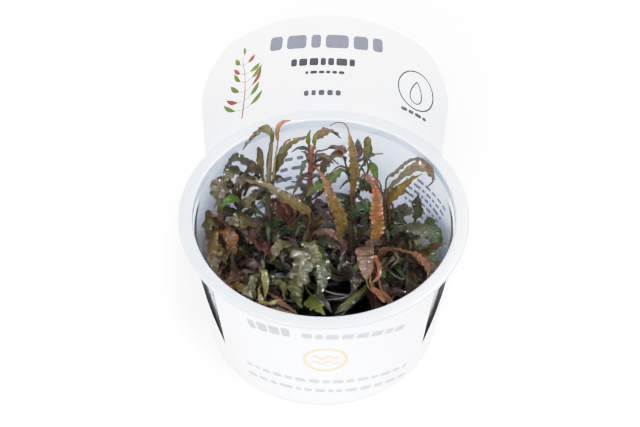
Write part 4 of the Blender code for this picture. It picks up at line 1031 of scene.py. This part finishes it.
def leaf_surface(route, width, blade, look, rng, span=9, roll=0.0, fine=9):
    """A lobed leaf as a closed skin, with fine rings for each lobe.

    The route sways to the sides as a sine, and the blade twists about it as another. The half width
    is a skewed half sine over the blade's share of the length, blunter where the leaf has no notches,
    and the stalk's before and after. Each side is cut into rounded lobes by the root of a half sine
    that repeats once a lobe. Every lobe has a seeded height, lift and tone, which run smoothly from
    one to the next. A point at a share t across is swept towards the tip by a third of its distance
    from the midrib. It lies on a circular arc that curls the sides up, is lifted with t squared, and
    stands on a blister in each lobe, a half sine both ways, parted by the vein in its middle. The
    thickness is a thin sheet plus a bell over the midrib, both closing to nothing at the edge."""
    base, middle, tip, rib, edge = (linear(colour) * LEAF_LIGHT for colour in look.tones.split())
    steps = max(31, look.lobes * fine + 20)
    s = np.linspace(0, 1, steps)
    route = smooth_route(route, steps)
    bell = np.sin(math.pi * s)
    sway = 0.09 * width * np.sin(2 * math.pi * (s * rng.uniform(1.2, 2.4) + rng.uniform(0, 1))) * bell
    twist = rng.uniform(8, 22) * np.sin(2 * math.pi * (s * rng.uniform(0.6, 1.4) + rng.uniform(0, 1)))
    route = route + in_frame(route, roll)[1] * sway[:, None]
    along, across, up = in_frame(route, (roll + twist)[:, None])
    b = np.clip((s - blade[0]) / (blade[1] - blade[0]), 0, 1)
    whole = np.sin(math.pi * b**look.skew) ** (0.75 if look.depth > BLUNT else 0.45) * width / 2
    broad = smoothstep((whole - 0.5) / 0.8)[:, None]
    top = np.sin(np.linspace(-math.pi / 2, math.pi / 2, span))
    t = np.concatenate([top, top[-2:0:-1]])
    face = np.concatenate([np.ones(span), -np.ones(span - 2)])
    face[0] = face[span - 1] = 0
    count = look.lobes + 3
    sides = []
    for _ in range(2):
        phase = b**0.9 * (look.lobes + rng.uniform(-0.2, 0.2)) + rng.uniform(0.0, 0.6)
        height = rng.uniform(0.7, 1.12, count)[np.floor(phase).astype(int)]
        lobe = np.sin(math.pi * (phase % 1) ** 1.15) ** 0.55
        half = np.maximum(whole * (1 - look.depth * (1 - lobe * height)), STALK_WIDTH / 2 * (1 - 0.5 * s))
        lift, tone, blush = (np.interp(phase - 0.5, np.arange(count), rng.uniform(low, high, count))
                             for low, high in ((-0.6, 1.0), (0.7, 1.35), (-0.3, 1.0)))
        sides.append((half, phase, lift, tone, blush))
    half, phase, lifted, tone, blush = (np.where((t < 0)[None], left[:, None], right[:, None])
                                        for left, right in zip(*sides))
    size = np.abs(t)[None]
    far = size * half
    bend = max(look.curl, 0.01) / (width / 2)
    within = phase % 1
    ripple = size**2 * (0.13 * lifted + 0.06 * np.sin(2 * math.pi * phase + 1.0))
    vein = 1 - 0.6 * np.exp(-((within - 0.5) / 0.1) ** 2)
    blister = np.sin(math.pi * within) * np.sin(math.pi * size**0.8) * vein
    lift = (1 - np.cos(far * bend)) / bend + (ripple * width + 0.085 * width * blister) * broad
    midrib = 0.24 * (1 - 0.6 * s)[:, None] * np.exp(-(far / 0.5) ** 2)
    lift = lift + (0.09 + midrib) * np.sqrt(1 - t[None]**2 + 1e-9) * face[None]
    sideways = np.sin(far * bend) / bend * np.sign(t)[None]
    sweep = 0.35 * far * broad
    rings = (route[:, None] + across[:, None] * sideways[..., None] + up[:, None] * lift[..., None]
             + along[:, None] * sweep[..., None])
    share = s[:, None, None]
    tint = np.where(share < 0.5, base + (middle - base) * share * 2,
                    middle + (tip - middle) * (share * 2 - 1))
    tint = tint + (edge - tint) * np.clip(size**3 * 0.5 + 0.6 * size * blush, 0, 1)[..., None]
    tint = tint * (1 + (tone - 1) * size)[..., None]
    # The underside is darker and redder.
    tint[:, face < 0] = tint[:, face < 0] * 0.75 + linear("6a4a44") * LEAF_LIGHT * 0.2
    place = np.stack([np.where(t[None] == 0, 0.25, phase), np.broadcast_to(t[None], phase.shape)], -1)
    return skin(rings, tint=tint, rib=np.broadcast_to(rib, rings.shape), place=place)


def stem_axis(name):
    """40 points along the middle line of a stem."""
    return smooth_route(STEMS[name].route, 40)


def point_at_height(route, height):
    """The point of a rising route at a height, on the line between its neighbours."""
    return np.array([np.interp(height, route[:, 2], route[:, k]) for k in range(3)])


def leaf_route(stem, height, route):
    """From beside the stem, a gap away, through the route's points to the tip."""
    base = point_at_height(stem_axis(stem), height)
    outward = np.array(route[0], float) - base
    outward[2] = 0
    return [base + unit(outward) * (STEMS[stem].radius + GAP + STALK_WIDTH / 2), *route]


def sprig_route(stem, sprig):
    """From inside the stem out along a heading, up to a crown and down to the tip."""
    base = point_at_height(stem_axis(stem), sprig.height)
    out = heading_way(sprig.heading)
    rise = np.array([0, 0, sprig.rise])
    return [base, base + out * sprig.reach * 0.6 + rise,
            base + out * sprig.reach + rise - (0, 0, sprig.drop)]


def stem_surface(name):
    """A tube round the stem's route. Its radius falls by 15% to the top, and swells by about a fifth
    at each node, a bell 1 mm high every 5 mm. The roots, runners and forks that spring from it are
    thinner tubes."""
    stem = STEMS[name]
    route = smooth_route(stem.route, 90)
    low, high = (linear(colour) * LEAF_LIGHT for colour in STEM_COLOURS[name])
    swell = np.exp(-(((route[:, 2] + 2.5) % 5 - 2.5) / 0.6) ** 2)
    radius = stem.radius * (1 - 0.15 * np.linspace(0, 1, 90)) * (0.92 + 0.18 * swell)
    made = [tube(route, radius, low, high)]
    for radius, colour, points in ROOTS.get(name, ()):
        colour = linear(colour) * LEAF_LIGHT
        made.append(tube(smooth_route(held_inside(points), 40), radius, colour, colour, 8))
    return joined(made)


def held_inside(route, clear=1.4):
    """The route with every point that lies too near the wall drawn in towards the axis. The wall counts
    as upright above 48 mm."""
    route = np.array(route, float)
    radius = np.linalg.norm(route[:, :2], axis=1)
    most = wall_radius(np.minimum(route[:, 2], 48)) - clear
    route[:, :2] *= np.minimum(1, most / np.maximum(radius, 1e-6))[:, None]
    return route


def small_leaf(base, heading, reach, rise, drop, width, look, rng):
    """A small leaf that rises from its base, crowns at two thirds of its reach and droops to its tip."""
    out = heading_way(heading)
    aside = right_of(out) * rng.uniform(-0.15, 0.15) * reach
    up = np.array([0, 0, 1.0])
    route = [base,
             base + out * reach * 0.3 + up * rise * 0.75,
             base + out * reach * 0.65 + up * rise + aside,
             base + out * reach + up * (rise - drop) + aside * 2]
    return leaf_surface(held_inside(route), width, (0.12, 1), look, rng, span=5, fine=6)


def lying_leaf(stem, heading, reach, width, look, rng):
    """A low leaf that rises a little from its stem's foot and lies down on the jelly."""
    base = point_at_height(stem_axis(stem), rng.uniform(14.3, 15.5))
    out = heading_way(heading) * reach
    aside = right_of(out) * rng.uniform(-0.3, 0.3)
    route = np.array([base, base + out * 0.35, base + out * 0.7 + aside * 0.5, base + out + aside])
    route[1:, 2] = JELLY_TOP + np.array([rng.uniform(1.6, 4.0), rng.uniform(1.6, 3.6), rng.uniform(1.0, 2.0)])
    return leaf_surface(held_inside(route), width, (0.1, 1), look, rng, span=7, fine=7)


def tube(route, radius, low, high, across=14):
    """A round tube along a route, tapered over its last three rings, with a colour at either end."""
    s = np.linspace(0, 1, len(route))
    radius = radius * np.ones(len(route))
    radius[-3:] *= (0.85, 0.6, 0.25)
    _, aside, up = in_frame(route, 0.0)
    turn = np.arange(across)[None, :, None] / across * 2 * math.pi
    circle = aside[:, None] * np.cos(turn) + up[:, None] * np.sin(turn)
    rings = route[:, None] + circle * radius[:, None, None]
    tint = np.broadcast_to((low + (high - low) * s[:, None])[:, None], rings.shape)
    return skin(rings, tint=tint)


def low_look(rng, tones=LOW_TONES):
    """A seeded look for a leaf low in the cup, in one of the tones."""
    tone = tones[rng.integers(len(tones))]
    return Look(int(rng.integers(4, 8)), rng.uniform(0.4, 0.6), rng.uniform(0.3, 0.8), tone)


# Settings

def colour_setting(name, description, hex_colour):
    """A colour that a user can change, with an sRGB hex value as its default."""
    return FloatVectorProperty(name=name, description=description, subtype="COLOR", size=3, min=0, max=1,
                               default=linear(hex_colour))


class CupSettings(bpy.types.PropertyGroup):
    """Sizes and colours of the tub and the card."""

    rim_radius: FloatProperty(
        name="Rim radius", description="From the tub's axis to the edge of its flange",
        default=0.0475, min=0.044, max=0.05, unit="LENGTH")
    corner: FloatProperty(
        name="Corner", description="How far the tub's corners are rounded",
        default=0.0004, min=0.0001, max=0.001, unit="LENGTH")
    card: FloatProperty(
        name="Card thickness", description="Thickness of the card sleeve",
        default=0.00045, min=0.0002, max=0.001, unit="LENGTH")
    tub_colour: colour_setting("Tub", "Tint of the clear plastic", "f4f7fc")
    card_colour: colour_setting("Card", "Colour of the coated card", "dfe1e6")
    heading_ink: colour_setting("Heading ink", "Colour of the large marks on the header", "6b6d75")
    dark_ink: colour_setting("Dark ink", "Colour of the small dark marks", "3a3b40")
    sign_ink: colour_setting("Sign ink", "Colour of the short marks and the drop sign", "505157")
    inner_ink: colour_setting("Inner ink", "Colour of the small marks behind the tub", "6a6f79")
    pale_bold_ink: colour_setting("Pale bold ink", "Colour of the bold marks on the front panel", "7c8088")
    pale_ink: colour_setting("Pale ink", "Colour of the pale marks on the front panel", "868a92")
    warm_ink: colour_setting("Warm ink", "Colour of the round motif in front", "e2a468")
    sprig_green: colour_setting("Sprig green", "Colour of the printed sprig's leaves", "616c2d")
    sprig_red: colour_setting("Sprig red", "Colour of the printed sprig's stems and some leaves", "844230")


class PlantSettings(bpy.types.PropertyGroup):
    """How the plants grow and shine."""

    leaf_wetness: FloatProperty(
        name="Wetness", description="Weight of the wet film on leaves and stems", subtype="FACTOR",
        default=0.6, min=0, max=1)
    undergrowth: IntProperty(
        name="Undergrowth", description="Small leaves at each node low on a stem", default=3, min=0, max=6)
    lying: IntProperty(
        name="Lying leaves", description="Old leaves round each stem that lie on the jelly", default=9,
        min=0, max=16)
    seed: IntProperty(
        name="Seed", description="Starts the random order of lobes and small leaves", default=7, min=0)


class StageSettings(bpy.types.PropertyGroup):
    """Floor, light and camera."""

    floor_colour: colour_setting("Floor", "Colour of the plain floor", "fcfcfc")
    sky: FloatProperty(
        name="Sky", description="Strength of the even white light all round", default=0.4, min=0)
    lamps: FloatProperty(name="Lamps", description="Scales the power of all lamps", default=1.0, min=0)
    lens: FloatProperty(name="Lens", description="Focal length on a 36 mm wide sensor", default=77.3, min=20,
                        unit="CAMERA")


# Operators

class PLANTCUP_OT_tub(bpy.types.Operator):
    """Turn the clear tub and the jelly in it"""

    bl_idname = "plantcup.tub"
    bl_label = "Tub and Jelly"

    def execute(self, context):
        settings = context.scene.plant_cup
        tub = turned(tub_profile(settings.rim_radius / MM), TUB_SEGMENTS, settings.corner / MM)
        add_tub_finishes(add_piece("tub", tub, None, ("cup",), crease=30), settings)
        jelly = turned(jelly_profile(), JELLY_SEGMENTS, JELLY_CORNER)
        add_piece("jelly_block", jelly, nutrient_jelly(), ("jelly",), crease=40)
        return {"FINISHED"}


class PLANTCUP_OT_card(bpy.types.Operator):
    """Fold the white card round the tub"""

    bl_idname = "plantcup.card"
    bl_label = "Card"

    def execute(self, context):
        settings = context.scene.plant_cup
        add_piece("sleeve", sleeve_shape(settings.card / MM), coated_card(settings),
                  ("card_sleeve",), crease=35)
        return {"FINISHED"}


class PLANTCUP_OT_print(bpy.types.Operator):
    """Print plain marks on the header, the front panel and the back panel"""

    bl_idname = "plantcup.print"
    bl_label = "Print"

    def execute(self, context):
        settings = context.scene.plant_cup
        rng = np.random.default_rng(11)

        def printed(name, lines, ink_name, colour, surface, inside=False):
            shape = joined([stroke(path, width, surface, inside) for path, width in lines])
            add_piece(name, shape, printing_ink(ink_name, colour), crease=40)

        heading, left = [], -19.5
        for wide in (4.4, 6.8, 3.4, 8.0, 5.2, 3.6):
            heading.append(bar(left, left + wide, (81.7, 0, 0.003), 5.4, 1.1))
            left += wide + 1.5
        printed("header_heading", heading, "heading_ink", settings.heading_ink, on_back, inside=True)
        dark = word_row(-12.0, 12.5, (73.5, 0, 0.002), 3.0, rng, (1.8, 4.0), 0.7)
        dark += word_row(-7.0, 7.5, (69.2, 0, 0), 1.3, rng, (1.0, 2.6), 0.5)
        printed("header_lines", dark, "dark_ink", settings.dark_ink, on_back, inside=True)
        sign = word_row(-7.2, 8.0, (60.6, 0, 0), 2.3, rng, (1.5, 2.3), 0.9)
        sign += [ring(33.4, 70.3, 7.2, 7.4, 0.6), drop_outline(33.4, 69.6, 4.4, 0.55)]
        sign += word_row(28.0, 39.5, (61.0, 0, 0), 1.4, rng, (1.4, 2.8), 0.5)
        printed("header_signs", sign, "grey_ink", settings.sign_ink, on_back, inside=True)

        stalk = np.linspace(57.0, 80.5, 25)
        twig = np.stack([-30.5 + 1.6 * np.sin((stalk - 57) / 9), stalk], -1)
        green, red = [], [(twig, np.linspace(0.55, 0.25, 25))]
        for k, height in enumerate(np.linspace(60.5, 78.0, 6)):
            foot = np.array([np.interp(height, stalk, twig[:, 0]), height])
            for side in (-1, 1):
                lean, reach, wide = rng.uniform(38, 68), rng.uniform(8.5, 11.5), rng.uniform(1.3, 1.9)
                leaf = oval_leaf(foot, side * lean, reach * (1 - 0.09 * k), wide)
                (red if (k + side) % 3 == 0 else green).append(leaf)
        green.append(oval_leaf(twig[-1], 8, 4.5, 1.2))
        printed("header_sprig_leaves", green, "olive_ink", settings.sprig_green, on_back, inside=True)
        printed("header_sprig_stems", red, "red_ink", settings.sprig_red, on_back, inside=True)

        inner = []
        rows = ((-19.5, -17.5), (-20, 2), (-24, 3), (-27, 4), (-25, 6), (-32, 9), (-33, 2))
        for k, (start, end) in enumerate(rows):
            inner += word_row(start, end, (37.6 - 4.2 * k, 0, 0), 1.5, rng, (2.6, 7.5), 1.5)
        for k in range(7):
            inner += word_row(34 + 0.4 * k, 60 - 0.8 * k, (36.0 - 2.7 * k, 0, 0), 1.0, rng, (1.2, 4.0), 0.8)
        printed("inner_lines", inner, "slate_ink", settings.inner_ink, on_back, inside=True)

        bold = word_row(-25.2, -9.0, (43.8, -0.06, -0.0065), 4.6, rng, (2.6, 3.8), 0.7)
        printed("front_heading", bold, "pale_bold_ink", settings.pale_bold_ink, on_front)
        pale = word_row(-7.0, 27.5, (43.4, -0.06, -0.0065), 2.8, rng, (2.4, 4.4), 0.9)
        for height in (15.6, 9.6):
            pale += word_row(-29.0, 33.0, (height, -0.065, -0.0042), 2.0, rng, (1.8, 5.0), 1.0)
        printed("front_lines", pale, "pale_ink", settings.pale_ink, on_front)
        wave = np.linspace(-3.9, 4.9, 31)
        motif = [ring(0.5, 29.4, 6.9, 6.6, 1.3)]
        swing = 0.8 * np.sin((wave - 0.5) * 1.4)
        motif += [(np.stack([wave, height + swing], -1), 1.0) for height in (31.0, 27.8)]
        printed("front_motif", motif, "warm_ink", settings.warm_ink, on_front)
        return {"FINISHED"}


class PLANTCUP_OT_stems(bpy.types.Operator):
    """Grow the stems, each with the small leaves low on it"""

    bl_idname = "plantcup.stems"
    bl_label = "Stems"

    def execute(self, context):
        plants = context.scene.plant_growth
        finish, blade = moist_stem(plants), moist_leaf(plants)
        for number, name in enumerate(STEMS):
            rng = np.random.default_rng([plants.seed, 1, number])
            add_piece(name + "_stalk", stem_surface(name), finish, (name,))
            leaves = [leaf_surface(sprig_route(name, sprig), sprig.width, (0.2, 1), low_look(rng), rng, 7)
                      for sprig in SPRIGS[name]]
            axis = stem_axis(name)
            top = STEMS[name].route[-1][2]
            turn = rng.uniform(0, 360)
            for height in np.arange(LOWEST_NODE, top - 1, NODE_STEP):
                share = (height - LOWEST_NODE) / (top - LOWEST_NODE)
                turn += 90
                for k in range(plants.undergrowth if height < SPARSE_ABOVE else min(2, plants.undergrowth)):
                    heading = turn + k * 360 / plants.undergrowth + rng.uniform(-25, 25)
                    reach = rng.uniform(7.5, 13.0) * (1 - 0.35 * share)
                    rise, drop = rng.uniform(1.5, 5.0), rng.uniform(1, 4)
                    width = reach * rng.uniform(0.2, 0.32)
                    base = point_at_height(axis, height)
                    leaves.append(small_leaf(base, heading, reach, rise, drop, width, low_look(rng), rng))
            near, far = LYING_REACH.get(name, (8, 15))
            # Lying leaves in near black tones: old leaves, and painted shade on the floor of the cup.
            for k in range(plants.lying):
                heading = turn + (k + rng.uniform(-0.3, 0.3)) * 360 / plants.lying
                leaves.append(lying_leaf(name, heading, rng.uniform(near, far), rng.uniform(3.0, 4.6),
                                         low_look(rng, OLD_LEAF_AND_SHADE_TONES), rng))
            for height, width, start, points, lobes, depth, tone in EXTRAS.get(name, ()):
                tones = [tone] * 4 + [EDGE_TONES[rng.integers(len(EDGE_TONES))]]
                look = Look(lobes + 2, depth * 1.2, 0.5, " ".join(tones))
                route = leaf_route(name, height, points)
                leaves.append(leaf_surface(route, width * 0.85, (start, 1), look, rng, 7))
            add_piece(name + "_small_leaves", joined(leaves), blade)
        return {"FINISHED"}


class PLANTCUP_OT_leaves(bpy.types.Operator):
    """Grow the main leaves"""

    bl_idname = "plantcup.leaves"
    bl_label = "Main Leaves"

    def execute(self, context):
        plants = context.scene.plant_growth
        finish = moist_leaf(plants)
        for number, (name, leaf) in enumerate(LEAVES.items()):
            rng = np.random.default_rng([plants.seed, 2, number])
            route = leaf_route(leaf.stem, leaf.height, leaf.route)
            shape = leaf_surface(route, leaf.width, leaf.blade, LOOKS[name], rng, roll=leaf.roll)
            add_piece(name + "_blade", shape, finish, (name,))
        return {"FINISHED"}


class PLANTCUP_OT_stage(bpy.types.Operator):
    """Set the floor, the lights and the camera"""

    bl_idname = "plantcup.stage"
    bl_label = "Stage"

    def execute(self, context):
        scene, settings = context.scene, context.scene.plant_stage
        floor = bpy.data.meshes.new("floor")
        floor.from_pydata([(-4, -4, 0), (4, -4, 0), (4, 4, 0), (-4, 4, 0)], [], [(0, 1, 2, 3)])
        finish, _, shader = new_finish("matt_white_floor", Roughness=0.9, Specular_IOR_Level=0.1)
        shader.inputs["Base Color"].default_value = (*settings.floor_colour, 1)
        floor.materials.append(finish)
        floor = bpy.data.objects.new("floor", floor)
        scene.collection.objects.link(floor)
        scene.world = bpy.data.worlds.new("studio")
        scene.world.use_nodes = True
        sky = scene.world.node_tree.nodes["Background"]
        sky.inputs["Color"].default_value = (1, 1, 1, 1)
        sky.inputs["Strength"].default_value = settings.sky
        for name, place, size, power, glints in LAMPS:
            lamp = bpy.data.lights.new(name, "AREA")
            lamp.energy, lamp.shape, lamp.size = power * settings.lamps, "DISK", size
            lamp = bpy.data.objects.new(name, lamp)
            lamp.location = place
            lamp.rotation_euler = (Vector(place) - LAMP_TARGET).to_track_quat("Z", "Y").to_euler()
            lamp.visible_glossy, lamp.visible_diffuse = glints, not glints
            scene.collection.objects.link(lamp)
        camera = bpy.data.cameras.new("camera")
        camera.lens, camera.sensor_width, camera.sensor_fit = settings.lens, 36.0, "HORIZONTAL"
        camera.clip_start, camera.clip_end = 0.01, 20
        camera = bpy.data.objects.new("camera", camera)
        down = math.radians(CAMERA_DOWN)
        away = CAMERA_DISTANCE * MM
        aside, height = (value * MM for value in CAMERA_TARGET)
        camera.location = (aside, -away * math.cos(down), height + away * math.sin(down))
        camera.rotation_euler = (math.pi / 2 - down, 0, 0)
        scene.collection.objects.link(camera)
        scene.camera = camera
        view = scene.view_settings
        view.view_transform = "Standard"
        view.use_curve_mapping = True
        view.curve_mapping.white_level = (WHITE, WHITE, WHITE)
        for place, shown in SHOULDER:
            view.curve_mapping.curves[3].points.new(place, shown)
        view.curve_mapping.update()
        return {"FINISHED"}


OPERATORS = (PLANTCUP_OT_tub, PLANTCUP_OT_card, PLANTCUP_OT_print, PLANTCUP_OT_stems, PLANTCUP_OT_leaves,
             PLANTCUP_OT_stage)


class PLANTCUP_PT_sidebar(bpy.types.Panel):
    """Buttons for each group of pieces, and their settings"""

    bl_label = "Plant Cup"
    bl_space_type = "VIEW_3D"
    bl_region_type = "UI"
    bl_category = "Plant Cup"

    def draw(self, context):
        for operator in OPERATORS:
            self.layout.operator(operator.bl_idname)
        for group in (context.scene.plant_cup, context.scene.plant_growth, context.scene.plant_stage):
            for key in group.__annotations__:
                self.layout.prop(group, key)


CLASSES = (CupSettings, PlantSettings, StageSettings, *OPERATORS, PLANTCUP_PT_sidebar)


def register():
    for made in CLASSES:
        bpy.utils.register_class(made)
    bpy.types.Scene.plant_cup = PointerProperty(type=CupSettings)
    bpy.types.Scene.plant_growth = PointerProperty(type=PlantSettings)
    bpy.types.Scene.plant_stage = PointerProperty(type=StageSettings)


def unregister():
    for key in ("plant_cup", "plant_growth", "plant_stage"):
        delattr(bpy.types.Scene, key)
    for made in reversed(CLASSES):
        bpy.utils.unregister_class(made)


def main():
    register()
    bpy.ops.plantcup.tub()
    bpy.ops.plantcup.card()
    bpy.ops.plantcup.print()
    bpy.ops.plantcup.stems()
    bpy.ops.plantcup.leaves()
    bpy.ops.plantcup.stage()


if __name__ == "__main__":
    main()
